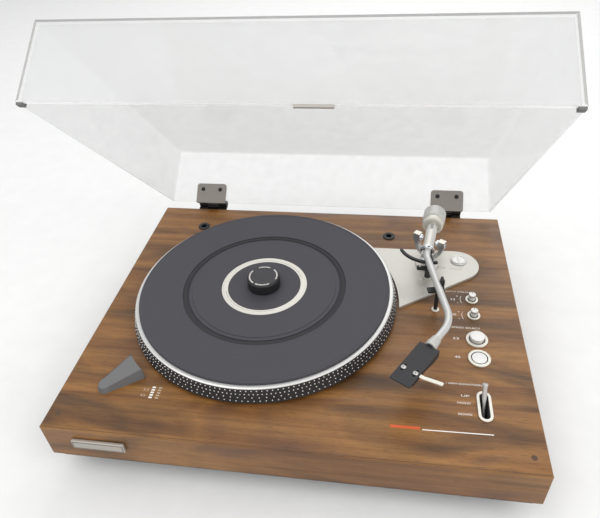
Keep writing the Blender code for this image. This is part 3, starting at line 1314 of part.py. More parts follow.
def make_headshell(tilt):
    """The locking nut, headshell, cartridge, stylus and finger lift."""
    _, second, end = arm_corner_points()
    turn = TUBE_FIRST_ANGLE - TUBE_SECOND_ANGLE
    spot = frame("headshell_axis", tilt, (*end, 0), (0, 0, turn))
    forward = (math.pi / 2, 0, 0)
    bore = TUBE_RADIUS + CLEAR
    nut = [
        (bore, NUT_LENGTH - NUT_START),
        (NUT_FRONT_RADIUS, NUT_LENGTH - NUT_START),
        (NUT_FRONT_RADIUS, NUT_LENGTH / 2 - NUT_START),
        (NUT_BACK_RADIUS, -NUT_START),
        (bore, -NUT_START),
    ]
    dress(turned("headshell_nut", nut, spot, turn=forward, ring=True), SATIN_METAL)

    back = NUT_LENGTH - NUT_START + CLEAR
    shell = flat("headshell", shell_side(), -SHELL_WIDTH / 2, SHELL_WIDTH / 2, spot, (0, -back, 0),
                 (math.pi / 2, 0, -math.pi / 2))
    inner = SHELL_WIDTH - 2 * SHELL_SKIRT_WALL
    under = SHELL_TOP - SHELL_PLATE
    room = block_mesh("shell_room", (inner, SHELL_LENGTH, SHELL_SKIRT_DEPTH + OVERRUN))
    place = (0, -back - SHELL_BACK_BLOCK - SHELL_LENGTH / 2, under - SHELL_SKIRT_DEPTH - OVERRUN)
    shape_with(shell, tool(room, spot, place))
    plug = rod_mesh("shell_plug", SHELL_PLUG_RADIUS, SHELL_PLUG_LENGTH + MERGE)
    shape_with(shell, tool(plug, spot, (0, -back - MERGE, 0), (-math.pi / 2, 0, 0)), "UNION")
    screw_y = -back - SCREW_FROM_BACK
    places = [(side * SCREW_SPACING / 2, screw_y) for side in (-1, 1)]
    deep = under - CLEAR - SCREW_DEPTH
    for x, y in places:
        slot = flat("shell_slot", stadium(SHELL_SLOT_WIDTH, SHELL_SLOT_LENGTH), under - OVERRUN,
                    SHELL_TOP + OVERRUN, spot, (x, y, 0))
        move_to_cutters(slot)
        shape_with(shell, slot)
    dress(shell, BLACK_PLASTIC, False)

    top = under - CLEAR
    body = block_mesh("cartridge", (CARTRIDGE_WIDTH, CARTRIDGE_LENGTH, CARTRIDGE_HEIGHT), CARTRIDGE_EDGE, True)
    middle_y = screw_y - CARTRIDGE_FRONT + CARTRIDGE_LENGTH / 2
    cartridge = put("cartridge", body, spot, (0, middle_y, top - CARTRIDGE_HEIGHT))
    drill(cartridge, spot, places, SCREW_RADIUS + CLEAR, deep - CLEAR, top + OVERRUN, 12)
    dress(cartridge, BLACK_PLASTIC, False)
    bottom = top - CARTRIDGE_HEIGHT - CLEAR
    holder = block_mesh("stylus", (STYLUS_WIDTH, STYLUS_LENGTH, STYLUS_HEIGHT))
    stylus_y = screw_y - CARTRIDGE_FRONT + STYLUS_LENGTH / 2
    stylus = put("stylus", holder, spot, (0, stylus_y, bottom - STYLUS_HEIGHT))
    tip = rod_mesh("stylus_tip", STYLUS_TIP_RADIUS / 2, STYLUS_TIP_DROP - STYLUS_HEIGHT / 2, 8, STYLUS_TIP_RADIUS)
    tip_y = stylus_y - STYLUS_LENGTH / 2 + 2 * STYLUS_TIP_RADIUS
    shape_with(stylus, tool(tip, spot, (0, tip_y, bottom - STYLUS_TIP_DROP)), "UNION")
    dress(stylus, DARK_GREY, False)

    start = SHELL_WIDTH / 2 + CLEAR
    low = SHELL_TOP - LIFT_THICKNESS
    knee = start + LIFT_REACH / 6
    far = start + LIFT_REACH
    outline = [
        (start, low),
        (knee, low),
        (far - LIFT_CURL, low + LIFT_RISE),
        (far, low + LIFT_RISE + LIFT_CURL),
        (far - LIFT_THICKNESS, low + LIFT_RISE + LIFT_CURL),
        (far - LIFT_CURL - LIFT_THICKNESS / 2, low + LIFT_RISE + LIFT_THICKNESS),
        (knee, SHELL_TOP),
        (start, SHELL_TOP),
    ]
    half = LIFT_WIDTH / 2
    finger = flat("finger_lift", outline, -half, half, spot, (0, screw_y, 0), (math.pi / 2, 0, 0))
    dress(finger, SATIN_METAL, False)


def shell_side():
    """The headshell's side outline: a flat top and skirts that run out towards the front."""
    under = SHELL_TOP - SHELL_PLATE
    return [
        (0, SHELL_TOP),
        (0, under - SHELL_SKIRT_DEPTH + SHELL_EDGE),
        (SHELL_EDGE, under - SHELL_SKIRT_DEPTH),
        (SHELL_BACK_BLOCK, under - SHELL_SKIRT_DEPTH),
        (SHELL_SKIRT_END, under),
        (SHELL_LENGTH - SHELL_EDGE, under),
        (SHELL_LENGTH, under + SHELL_EDGE),
        (SHELL_LENGTH, SHELL_TOP - SHELL_EDGE),
        (SHELL_LENGTH - SHELL_EDGE, SHELL_TOP),
    ]


def lid_shell_mesh():
    """The lid's outer skin, open below: a box whose top is drawn in by the drafts."""
    shape = bmesh.new()
    bmesh.ops.create_cube(shape, size=1.0)
    for corner in shape.verts:
        top = corner.co.z > 0
        side = math.copysign(1, corner.co.x)
        back = corner.co.y > 0
        x = side * (LID_WIDTH / 2 - (LID_SIDE_DRAFT if top else 0))
        draft = (-LID_BACK_DRAFT if back else LID_FRONT_DRAFT) if top else 0
        y = (LID_BACK if back else LID_FRONT) + draft
        corner.co = (x, y, LID_RIM + (LID_HEIGHT if top else 0))
    lowest = min(shape.faces, key=lambda face: face.calc_center_median().z)
    bmesh.ops.delete(shape, geom=[lowest], context="FACES_ONLY")
    mesh = bpy.data.meshes.new("lid")
    shape.to_mesh(mesh)
    shape.free()
    return mesh


def make_lid():
    """The clear lid with its two front stops, and the hinge leaves, all turned open."""
    hinge = frame("lid_hinge_axis", DECK, (0, HINGE_Y, HINGE_RISE), (-LID_OPEN, 0, 0))
    lid = put("lid", lid_shell_mesh(), hinge)
    wall = lid.modifiers.new("wall", "SOLIDIFY")
    wall.thickness = LID_WALL
    wall.offset = -1
    wall.use_even_offset = True
    inner = LID_BACK - LID_WALL
    pad_height = LID_LIFT - CLEAR + LID_WALL / 2
    pad_x = LID_WIDTH / 2 - LID_PAD_INSET - LID_PAD_SIZE[0] / 2
    pad_y = LID_FRONT + LID_PAD_INSET + LID_PAD_SIZE[1] / 2
    for side in (-1, 1):
        pad = block_mesh("lid_pad", (*LID_PAD_SIZE, pad_height))
        shape_with(lid, tool(pad, hinge, (side * pad_x, pad_y, CLEAR - HINGE_RISE)), "UNION")
    dress(lid, CLEAR_ACRYLIC, False)
    for name, side in (("hinge_leaf_left", -1), ("hinge_leaf_right", 1)):
        make_leaf(name, side * HINGE_X, hinge, inner)


def make_leaf(name, x, hinge, inner):
    """A leaf inside the lid's back wall, whose foot runs under the rim to its knuckle."""
    back = inner - CLEAR - LEAF_HEIGHT * LID_BACK_DRAFT / LID_HEIGHT
    bottom = -HINGE_RISE + LEAF_BOTTOM_GAP
    plate = block_mesh(name, (LEAF_WIDTH, LEAF_THICKNESS, LEAF_HEIGHT))
    leaf = put(name, plate, hinge, (x, back - LEAF_THICKNESS / 2, bottom))
    reach = LEAF_THICKNESS - back
    foot = block_mesh("leaf_foot", (LEAF_FOOT_WIDTH, reach, LEAF_THICKNESS))
    foot_y = -reach / 2
    shape_with(leaf, tool(foot, hinge, (x, foot_y, LID_RIM - CLEAR - LEAF_THICKNESS)), "UNION")
    knuckle = rod_mesh("leaf_knuckle", KNUCKLE_RADIUS, LEAF_FOOT_WIDTH)
    sideways = (0, math.pi / 2, 0)
    shape_with(leaf, tool(knuckle, hinge, (x - LEAF_FOOT_WIDTH / 2, 0, 0), sideways), "UNION")
    bore = rod_mesh("leaf_bore", HINGE_PIN_RADIUS + CLEAR, LEAF_FOOT_WIDTH + 2 * OVERRUN, 12)
    shape_with(leaf, tool(bore, hinge, (x - LEAF_FOOT_WIDTH / 2 - OVERRUN, 0, 0), sideways))
    dress(leaf, HINGE_GREY, False)


def make_hinge_brackets():
    """The two brackets on the plinth's rear face, each with its pin through the leaf's knuckle."""
    sideways = (0, math.pi / 2, 0)
    length = BRACKET_KNUCKLE_LENGTH
    start = LEAF_FOOT_WIDTH / 2 + CLEAR
    face = PLINTH_DEPTH / 2 + CLEAR
    top = HINGE_RISE - KNUCKLE_RADIUS
    width = 2 * (start + length)
    for name, side in (("hinge_bracket_left", -1), ("hinge_bracket_right", 1)):
        x = side * HINGE_X
        mesh = block_mesh(name, (width, BRACKET_PLATE_THICKNESS, BRACKET_PLATE_HEIGHT))
        bracket = put(name, mesh, DECK, (x, face + BRACKET_PLATE_THICKNESS / 2, top - BRACKET_PLATE_HEIGHT))
        for end in (-1, 1):
            middle = x + end * (start + length / 2)
            start_y = face + BRACKET_PLATE_THICKNESS / 2
            tab = block_mesh("bracket_tab", (length - 2 * CLEAR, HINGE_Y - start_y, BRACKET_TAB))
            place = (middle, (HINGE_Y + start_y) / 2, top - BRACKET_TAB / 2)
            shape_with(bracket, tool(tab, DECK, place), "UNION")
            knuckle = rod_mesh("bracket_knuckle", KNUCKLE_RADIUS, length)
            place = (middle - length / 2, HINGE_Y, HINGE_RISE)
            shape_with(bracket, tool(knuckle, DECK, place, sideways), "UNION")
        pin = rod_mesh("hinge_pin", HINGE_PIN_RADIUS, width - length, 12)
        place = (x - (width - length) / 2, HINGE_Y, HINGE_RISE)
        shape_with(bracket, tool(pin, DECK, place, sideways), "UNION")
        dress(bracket, HINGE_GREY, False)


make_plinth()
make_base()
make_deck_fittings()
make_drive()
make_electrics()
make_strobe()
make_controls()
make_arm_base()
make_arm()
make_lid()
make_hinge_brackets()
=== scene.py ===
"""A belt-drive turntable in walnut veneer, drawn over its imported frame."""

import json
import math

import bmesh
import bpy
from mathutils import Euler, Matrix, Vector


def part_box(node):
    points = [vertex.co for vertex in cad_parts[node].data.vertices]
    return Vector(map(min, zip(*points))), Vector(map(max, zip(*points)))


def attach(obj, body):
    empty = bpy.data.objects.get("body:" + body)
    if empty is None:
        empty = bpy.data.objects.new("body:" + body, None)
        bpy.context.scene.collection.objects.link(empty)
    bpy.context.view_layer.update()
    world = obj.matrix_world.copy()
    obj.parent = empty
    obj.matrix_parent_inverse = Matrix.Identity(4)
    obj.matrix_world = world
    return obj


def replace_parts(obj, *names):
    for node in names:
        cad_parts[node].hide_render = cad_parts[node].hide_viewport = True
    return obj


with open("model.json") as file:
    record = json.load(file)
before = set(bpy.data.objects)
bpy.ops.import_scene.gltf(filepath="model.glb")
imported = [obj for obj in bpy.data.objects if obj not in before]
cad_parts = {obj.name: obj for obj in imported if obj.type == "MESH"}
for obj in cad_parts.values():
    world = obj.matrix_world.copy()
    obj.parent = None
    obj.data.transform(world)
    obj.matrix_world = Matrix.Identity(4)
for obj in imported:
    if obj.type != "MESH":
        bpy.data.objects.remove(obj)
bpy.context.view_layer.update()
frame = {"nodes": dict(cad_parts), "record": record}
NODES = frame["nodes"]
BODIES = frame["record"]["behaviour"]["bodies"]
BODY_OF = {node: body for body, members in BODIES.items() for node in members}

# One millimetre in the frame's metres.
MM = 0.001
# Sizes in millimetres that several pieces share; places start at the middle of the deck's top.
PLINTH_DEPTH = 381.6
PIVOT = (137.7, 82)
ARM_HEIGHT = 40
CONTROL_X = 186.3
TRIM_Y = {"33": 24.8, "45": -1.2}
LEVER_X = 185.415
HINGE_X = 165.8
# Bezels, bushes and the front plate stand this far off the veneer, and print lies this high.
SEAT = 0.3
PRINT_HEIGHT = 0.06
# Most values of a noise texture lie in this span.
NOISE_SPAN = (0.3, 0.7)

low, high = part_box("plinth")
deck_top = ((low.x + high.x) / 2, (low.y + high.y) / 2, high.z)
DECK = Matrix.Translation(deck_top) @ Matrix.Scale(MM, 4)


def spot(base, at=(0, 0, 0), turn=(0, 0, 0)):
    """A place in millimetres from another place, turned by degrees."""
    angles = [math.radians(angle) for angle in turn]
    return base @ Matrix.Translation(at) @ Euler(angles).to_matrix().to_4x4()


# Each piece is drawn in millimetres in one of these places, and put() brings it into the frame.
PLATTER = spot(DECK, (-49.5, 3.9, 0))
STROBE = spot(PLATTER, turn=(0, 0, -134.4))
SWING = spot(DECK, (*PIVOT, ARM_HEIGHT), (0, 0, -8.57))
YOKE = spot(SWING, turn=(0, 0, -21.9))
HEAD = spot(DECK, (137.923, -80.753, ARM_HEIGHT), (0, 0, -31.27))
REST = spot(DECK, (143.04, 4.34, ARM_HEIGHT), (0, 0, 11.59))
LEVER = spot(DECK, (LEVER_X, -131.2, -20), (-33, 0, 0))
LID = spot(DECK, (0, 199.9, 3.7), (-45.775, 0, 0))


# Outlines

def rounded(points, closed=True, steps=3):
    """The outline with a round corner wherever a point has a third number, its radius."""
    smooth = []
    for index, point in enumerate(points):
        here = Vector(point[:2])
        inside = closed or 0 < index < len(points) - 1
        if len(point) < 3 or not inside:
            smooth.append(here)
            continue
        before = Vector(points[index - 1][:2]) - here
        after = Vector(points[(index + 1) % len(points)][:2]) - here
        half = before.angle(after) / 2
        reach = min(point[2] / math.tan(half), before.length / 2, after.length / 2)
        radius = reach * math.tan(half)
        first = here + before.normalized() * reach
        last = here + after.normalized() * reach
        bisector = (before.normalized() + after.normalized()).normalized()
        centre = here + bisector * radius / math.sin(half)
        for step in range(steps + 1):
            ray = (first - centre).lerp(last - centre, step / steps)
            smooth.append(centre + ray.normalized() * radius)
    return smooth


def arc(centre, radius, first, last, steps):
    """Points on a circle, from one angle in degrees to another."""
    x, y = centre
    angles = [math.radians(first + (last - first) * step / steps) for step in range(steps + 1)]
    return [(x + radius * math.cos(angle), y + radius * math.sin(angle)) for angle in angles]


def stadium(width, length):
    """A slot's outline with round ends, longer along Y."""
    middle = (length - width) / 2
    return arc((0, middle), width / 2, 0, 180, 14) + arc((0, -middle), width / 2, 180, 360, 14)


def ribbed(depth, beyond, *bands):
    """A rule for lathe(): ribs this deep beyond a radius, within bands of height."""
    def ripple(radius, height):
        inside = any(bottom < height < top for bottom, top in bands)
        return depth if radius > beyond and inside else 0
    return ripple


# Shapes

def meshed(name, shape):
    """The shape as mesh data; the shape itself is freed."""
    mesh = bpy.data.meshes.new(name)
    shape.to_mesh(mesh)
    shape.free()
    return mesh


def from_mesh(mesh):
    """Mesh data as a shape; the data is removed."""
    shape = bmesh.new()
    shape.from_mesh(mesh)
    bpy.data.meshes.remove(mesh)
    return shape


def placed(name, data):
    """A new object of a mesh, a curve, a lamp or a camera, in the scene."""
    item = bpy.data.objects.new(name, data)
    bpy.context.scene.collection.objects.link(item)
    return item


def applied(item):
    """An object's mesh as it stands after its modifiers."""
    view = bpy.context.evaluated_depsgraph_get()
    return bpy.data.meshes.new_from_object(item.evaluated_get(view))


def outward(shape):
    """Turns the faces outward."""
    bmesh.ops.recalc_face_normals(shape, faces=shape.faces)
    return shape


def upward(shape):
    """Turns the faces of a flat print upward."""
    for face in outward(shape).faces:
        if face.normal.z < 0:
            face.normal_flip()
    return shape


def skin(shape, one, two):
    """Faces between two closed rows of corners; a corner that comes twice is used once."""
    for index in range(len(one)):
        following = (index + 1) % len(one)
        corners = [one[index], one[following], two[following], two[index]]
        corners = [corner for place, corner in enumerate(corners) if corner not in corners[:place]]
        if len(corners) > 2:
            shape.faces.new(corners)


def lathe(profile, closed=False, steps=128, ripple=None):
    """A turned solid from (radius, height[, corner radius]); ripple gives ribs their depth."""
    shape = bmesh.new()
    rings = []
    for radius, height in rounded(profile, closed):
        if radius < 0.001:
            # On the axis the whole ring is one corner.
            rings.append([shape.verts.new((0, 0, height))] * steps)
            continue
        ring = []
        for step in range(steps):
            angle = 2 * math.pi * step / steps
            reach = radius - (ripple(radius, height) * (step % 2) if ripple else 0)
            ring.append(shape.verts.new((reach * math.cos(angle), reach * math.sin(angle), height)))
        rings.append(ring)
    for one, two in zip(rings, rings[1:] + (rings[:1] if closed else [])):
        skin(shape, one, two)
    return outward(shape)


def soften(shape, width, segments=2, angle=28):
    """Rounds every edge that is sharper than the angle."""
    limit = math.radians(angle)
    edges = [edge for edge in shape.edges
             if len(edge.link_faces) == 2 and edge.calc_face_angle() > limit]
    bmesh.ops.bevel(shape, geom=edges, offset=width, segments=segments, profile=0.5,
                    affect="EDGES", clamp_overlap=True)
    return shape


def slab(outline, bottom, top, edge=0, segments=2):
    """A flat solid from its outline, with its edges rounded."""
    shape = bmesh.new()
    lower = [shape.verts.new((x, y, bottom)) for x, y in outline]
    upper = [shape.verts.new((x, y, top)) for x, y in outline]
    shape.faces.new(lower)
    shape.faces.new(upper)
    skin(shape, lower, upper)
    outward(shape)
    return soften(shape, edge, segments) if edge else shape


def block(size, middle=(0, 0, 0), edge=0, segments=2):
    """A block with rounded edges about its middle."""
    x, y, z = (length / 2 for length in size)
    shape = slab([(-x, -y), (x, -y), (x, y), (-x, y)], -z, z, edge, segments)
    bmesh.ops.translate(shape, verts=shape.verts, vec=middle)
    return shape


def tube(path, radius, sides):
    """A round tube along a level path, closed at both ends."""
    shape = bmesh.new()
    points = [Vector((*point, 0)) for point in path]
    rings = []
    for index, point in enumerate(points):
        ahead = points[min(index + 1, len(points) - 1)] - points[max(index - 1, 0)]
        side = ahead.normalized().cross(Vector((0, 0, 1)))
        ring = []
        for step in range(sides):
            angle = 2 * math.pi * step / sides
            ray = side * math.cos(angle) + Vector((0, 0, math.sin(angle)))
            ring.append(shape.verts.new(point + radius * ray))
        rings.append(ring)
    for one, two in zip(rings, rings[1:]):
        skin(shape, one, two)
    shape.faces.new(rings[0])
    shape.faces.new(rings[-1])
    return outward(shape)


def letters(text, left, right, y, tall):
    """Words drawn between two places, a hair above the surface they are printed on."""
    line = bpy.data.curves.new("word", "FONT")
    line.body = text
    holder = placed("word", line)
    shape = from_mesh(applied(holder))
    bpy.data.objects.remove(holder)
    across = [vertex.co.x for vertex in shape.verts]
    upright = [vertex.co.y for vertex in shape.verts]
    first, last, base, cap = min(across), max(across), min(upright), max(upright)
    for vertex in shape.verts:
        vertex.co.x = left + (vertex.co.x - first) * (right - left) / (last - first)
        vertex.co.y = y + ((vertex.co.y - base) / (cap - base) - 0.5) * tall
        vertex.co.z = PRINT_HEIGHT
    return shape


def stroke(points, width):
    """A printed line of one width through the points."""
    shape = bmesh.new()
    rows = []
    for index, point in enumerate(points):
        before, after = points[max(index - 1, 0)], points[min(index + 1, len(points) - 1)]
        ahead = Vector(after) - Vector(before)
        side = Vector((-ahead.y, ahead.x)).normalized() * width / 2
        here = Vector(point)
        rows.append([shape.verts.new((*end, PRINT_HEIGHT)) for end in (here + side, here - side)])
    for one, two in zip(rows, rows[1:]):
        shape.faces.new((one[0], one[1], two[1], two[0]))
    return shape


def node_shape(node, where, edge, segments=2, angle=28):
    """A node's solid in a place's millimetres, its triangles merged and its edges rounded."""
    shape = bmesh.new()
    shape.from_mesh(NODES[node].data)
    bmesh.ops.remove_doubles(shape, verts=shape.verts, dist=0.00001)
    bmesh.ops.dissolve_limit(shape, angle_limit=math.radians(1), verts=shape.verts,
                             edges=shape.edges)
    shape.transform(where.inverted())
    return soften(shape, edge, segments, angle)


def moved(shape, at=(0, 0, 0), turn=(0, 0, 0)):
    """The shape, turned by degrees and moved by millimetres."""
    shape.transform(spot(Matrix.Identity(4), at, turn))
    return shape


def joined(*shapes):
    """Several shapes as one."""
    first = shapes[0]
    for other in shapes[1:]:
        mesh = meshed("joined", other)
        first.from_mesh(mesh)
        bpy.data.meshes.remove(mesh)
    return first


def paint(shape, rule):
    """Gives each face the number of its finish, from its middle in millimetres."""
    for face in shape.faces:
        face.material_index = int(rule(face.calc_center_median()))
    return shape


def put_on(name, shape, where, finishes, node, crease=30):
    """Brings a shape into the frame and dresses it; it rides on the body of its node."""
    shape.transform(where)
    mesh = meshed(name, shape)
    for surface in finishes if isinstance(finishes, tuple) else (finishes,):
        mesh.materials.append(surface)
    mesh.shade_smooth()
    mesh.set_sharp_from_angle(angle=math.radians(crease))
    piece = placed(name, mesh)
    # Normals weighted by face area keep a flat face flat up to its rounded edge.
    even = piece.modifiers.new("even_shading", "WEIGHTED_NORMAL")
    even.keep_sharp = True
    shaded = applied(piece)
    piece.modifiers.remove(even)
    piece.data = shaded
    shaded.name = name
    bpy.data.meshes.remove(mesh)
    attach(piece, BODY_OF[node])
    return piece


def put(name, shape, where, finishes, node, crease=30):
    """Puts a shape that stands for its node."""
    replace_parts(put_on(name, shape, where, finishes, node, crease), node)


def put_node(name, node, where, finishes, edge, segments=2, rule=None):
    """Puts a node's own solid with rounded edges, in one finish or, by a rule, in several."""
    shape = node_shape(node, where, edge, segments)
    if rule:
        paint(shape, rule)
    put(name, shape, where, finishes, node, crease=40)


# Nodes and finishes

def add(tree, kind, inputs=None, **settings):
    """Adds a node; an input is a number, a colour or an output, and plain kinds are shader ones."""
    node = tree.nodes.new(kind if "Node" in kind else f"ShaderNode{kind}")
    for name, value in settings.items():
        setattr(node, name, value)
    for name, value in (inputs or {}).items():
        if isinstance(value, bpy.types.NodeSocket):
            tree.links.new(value, node.inputs[name])
        else:
            node.inputs[name].default_value = value
    return node


def linear(code):
    """A hex colour as the linear light that shaders work in."""
    parts = [int(code[place:place + 2], 16) / 255 for place in (0, 2, 4)]
    return tuple(part / 12.92 if part <= 0.04045 else ((part + 0.055) / 1.055) ** 2.4
                 for part in parts) + (1,)


def finish(name, colour, **values):
    """A material whose steady values sit on the shader's own sockets."""
    material = bpy.data.materials.new(name)
    material.use_nodes = True
    shader = material.node_tree.nodes["Principled BSDF"]
    shader.inputs["Base Color"].default_value = linear(colour)
    for socket, value in values.items():
        shader.inputs[socket.replace("_", " ")].default_value = value
    return material


def steer(material, **drivers):
    """Lets nodes drive the shader's sockets."""
    shader = material.node_tree.nodes["Principled BSDF"]
    for socket, output in drivers.items():
        material.node_tree.links.new(output, shader.inputs[socket.replace("_", " ")])
    return material


def per_mm(length):
    """A texture's scale for features of this length in millimetres."""
    return 1 / (length * MM)


def ramp(tree, factor, stops):
    """Colours along a factor; each stop is a place and a hex colour."""
    node = add(tree, "ValToRGB", {"Fac": factor})
    elements = node.color_ramp.elements
    while len(elements) < len(stops):
        elements.new(0.5)
    for element, (place, code) in zip(elements, stops):
        element.position = place
        element.color = linear(code)
    return node.outputs["Color"]


def follow(tree, value, span, result):
    """A value that runs over one span, brought to another."""
    return add(tree, "MapRange", {
        "Value": value, "From Min": span[0], "From Max": span[1],
        "To Min": result[0], "To Max": result[1]}).outputs["Result"]


def relief(tree, height, strength, depth):
    """The surface raised and sunk by a height, its depth in millimetres."""
    bump = add(tree, "Bump", {"Height": height, "Strength": strength, "Distance": depth * MM})
    return bump.outputs["Normal"]


def patterned(material, factor, colours, roughness, depth):
    """A pattern in the colour, the gloss and the relief of a material."""
    tree = material.node_tree
    steer(material, Base_Color=ramp(tree, factor, list(zip(NOISE_SPAN, colours))),
          Roughness=follow(tree, factor, NOISE_SPAN, roughness))
    return steer(material, Normal=relief(tree, factor, 1, depth)) if depth else material


def grained(name, size, colours, roughness, depth=0, stretch=(1, 1, 1), **values):
    """A finish with a fine random grain of a real size."""
    material = finish(name, colours[0], **values)
    tree = material.node_tree
    place = add(tree, "TexCoord").outputs["Object"]
    scale = tuple(per_mm(size) / part for part in stretch)
    spread = add(tree, "Mapping", {"Vector": place, "Scale": scale}).outputs["Vector"]
    grain = add(tree, "TexNoise", {"Vector": spread, "Scale": 1, "Detail": 4, "Roughness": 0.6})
    return patterned(material, grain.outputs["Fac"], colours, roughness, depth)


def turned_lines(name, where, spacing, colours, roughness, depth=0, **values):
    """A finish with the fine rings that a lathe tool leaves about a piece's own axis."""
    material = finish(name, colours[0], **values)
    tree = material.node_tree
    place = add(tree, "TexCoord").outputs["Object"]
    middle = tuple(-part for part in where.translation[:2]) + (0,)
    centred = add(tree, "Mapping", {"Vector": place, "Location": middle, "Scale": (1, 1, 0)})
    radius = add(tree, "VectorMath", {0: centred.outputs[0]}, operation="LENGTH").outputs["Value"]
    rings = add(tree, "TexNoise", {"W": radius, "Scale": per_mm(spacing), "Detail": 3},
                noise_dimensions="1D").outputs["Fac"]
    return patterned(material, rings, colours, roughness, depth)


def walnut_veneer():
    """Sliced walnut: long brown figure, dark streaks and short open pores along the grain."""
    material = finish("walnut_veneer", "7a573a", Specular_IOR_Level=0.4, Coat_Weight=0.18,
                      Coat_Roughness=0.35)
    tree = material.node_tree
    place = add(tree, "TexCoord").outputs["Object"]
    # The grain runs along the width, and round the corner it runs along the depth of the side.
    normal = add(tree, "NewGeometry").outputs["True Normal"]
    facing = add(tree, "SeparateXYZ", {0: normal}).outputs["X"]
    sideways = add(tree, "Math", {0: facing}, operation="ABSOLUTE").outputs[0]
    on_side = add(tree, "Math", {0: sideways, 1: 0.7}, operation="GREATER_THAN").outputs[0]
    x, y, z = add(tree, "SeparateXYZ", {0: place}).outputs
    swapped = add(tree, "CombineXYZ", {"X": y, "Y": x, "Z": z}).outputs[0]
    # Inputs 4 and 5 of a mix are its vectors, and 6 and 7 its colours.
    along = add(tree, "Mix", {"Factor": on_side, 4: place, 5: swapped},
                data_type="VECTOR").outputs[1]

    def drawn_out(length, width):
        """The place, drawn out along the grain to features of this length and width."""
        scale = (per_mm(length), per_mm(width), per_mm(width))
        return add(tree, "Mapping", {"Vector": along, "Scale": scale}).outputs["Vector"]

    def figure(length, width, detail, distortion=0):
        """Noise drawn out along the grain."""
        return add(tree, "TexNoise", {
            "Vector": drawn_out(length, width), "Scale": 1, "Detail": detail,
            "Roughness": 0.55, "Distortion": distortion}).outputs["Fac"]

    broad = figure(260, 60, 2, 1.6)
    streaks = figure(230, 5, 4, 0.6)
    fibres = figure(42, 0.9, 3)
    pores = figure(9, 0.45, 1)
    # The arches of a flat-cut board: bands across the grain, bent by slow noise.
    arches = add(tree, "TexWave", {
        "Vector": drawn_out(620, 170), "Scale": 1, "Distortion": 9, "Detail": 2,
        "Detail Scale": 0.9, "Detail Roughness": 0.45}, bands_direction="Y").outputs["Fac"]
    colour = ramp(tree, broad, [(0.28, "5c4328"), (0.4, "7b592f"), (0.52, "966d3a"),
                                (0.62, "8d663a"), (0.72, "79583a")])
    veil = ramp(tree, arches, [(0, "b79a80"), (0.25, "e2d2c2"), (0.6, "fff6ea"),
                               (0.9, "f2e2cf"), (1, "d6bfa6")])
    dark = ramp(tree, streaks, [(0.3, "8a6c52"), (0.47, "dccfc0"), (0.62, "ffffff"),
                                (0.8, "efe4d6")])
    fine = ramp(tree, fibres, [(0.3, "cdc1b4"), (0.6, "ffffff"), (0.72, "fff6ea"), (0.9, "ffffff")])
    open_pore = follow(tree, pores, (0.3, 0.4), (0.55, 1))
    for share, layer in ((0.6, veil), (0.38, dark), (0.45, fine), (1, open_pore)):
        colour = add(tree, "Mix", {"Factor": share, 6: colour, 7: layer},
                     data_type="RGBA", blend_type="MULTIPLY").outputs[2]
    return steer(material, Base_Color=colour, Normal=relief(tree, open_pore, 0.6, 0.04),
                 Roughness=follow(tree, streaks, NOISE_SPAN, (0.52, 0.4)))


def clear_sheet(name, colour, face_on, edge_on, roughness):
    """Cast acrylic: nearly nothing is seen face on, and more of it as the sheet turns away."""
    material = finish(name, colour, Roughness=roughness, IOR=1.49)
    tree = material.node_tree
    place = add(tree, "TexCoord").outputs["Object"]
    facing = add(tree, "LayerWeight", {"Blend": 0.35}).outputs["Facing"]
    # Fine wiping marks, 14 mm long, keep the polish from looking like an empty space.
    haze = add(tree, "TexNoise", {"Vector": place, "Scale": per_mm(14), "Detail": 5}).outputs["Fac"]
    wiped = follow(tree, haze, (0.4, 0.75), (0, 0.04))
    seen = follow(tree, facing, (0, 1), (face_on, edge_on))
    total = add(tree, "Math", {0: seen, 1: wiped}, operation="ADD", use_clamp=True)
    return steer(material, Alpha=total.outputs[0])


# Walnut veneer, sliced and oiled: a satin brown sheet with dark streaks.
WALNUT = walnut_veneer()
# Moulded rubber with fine rings: dark, with soft grey highlights.
MAT_RUBBER = turned_lines("moulded_rubber", PLATTER, 1.6, ("3b3a3f", "424046"), (0.62, 0.7), 0.02,
                          Specular_IOR_Level=0.45)
# Painted shade in the mat's groove: its walls and floor get a darker, quite matt rubber colour.
GROOVE_SHADE = grained("groove_painted_shade", 1.2, ("272629", "2e2d30"), (0.75, 0.85))
# Soft rubber of the feet: nearly black, with a dull skin.
FOOT_RUBBER = grained("foot_rubber", 0.8, ("19191b", "222225"), (0.65, 0.8), 0.02)
# Diamond-cut aluminium: bright, with the rings of the tool.
BRIGHT_RIM = turned_lines("diamond_cut_aluminium", PLATTER, 0.5, ("d0d0cd", "dddcd9"), (0.36, 0.46),
                          Metallic=0.7)
# Facets cut through the lacquer: pale metal, with the facets' glint painted into a near-white
# colour that shines from every side.
GLINT_DOTS = grained("facetted_dots_painted_glint", 0.8, ("dcdbd6", "f0efea"), (0.3, 0.42), Metallic=0.35)
# Pearl-white plated ring: a warm satin with hardly any reflection.
RING_PEARL = turned_lines("pearl_white_ring", PLATTER, 0.7, ("d1cec5", "d6d3ca"), (0.4, 0.48),
                          Metallic=0.25)
# Dark lacquer over cast aluminium: a matt charcoal with a slight orange peel.
RIM_LACQUER = grained("charcoal_lacquer", 1.5, ("262527", "2e2d2f"), (0.45, 0.58), 0.01,
                      Specular_IOR_Level=0.35)
# Bare cast aluminium under the platter: grey, with a sandy skin.
CAST = grained("cast_aluminium", 1, ("9c9ea0", "b4b6b8"), (0.42, 0.58), 0.03, Metallic=0.9)
# Blasted and anodised aluminium: a pale satin with soft highlights.
SATIN = grained("satin_anodised_aluminium", 0.35, ("c6c5c2", "d5d4d1"), (0.32, 0.42), 0.004,
                Metallic=0.7)
# Brushed anodised plate of the arm: a warm silver with fine lines.
PLATE_SILVER = grained("brushed_anodised_plate", 0.25, ("bbb9b1", "c8c6be"), (0.36, 0.48), 0.003,
                       (1, 24, 1), Metallic=0.65)
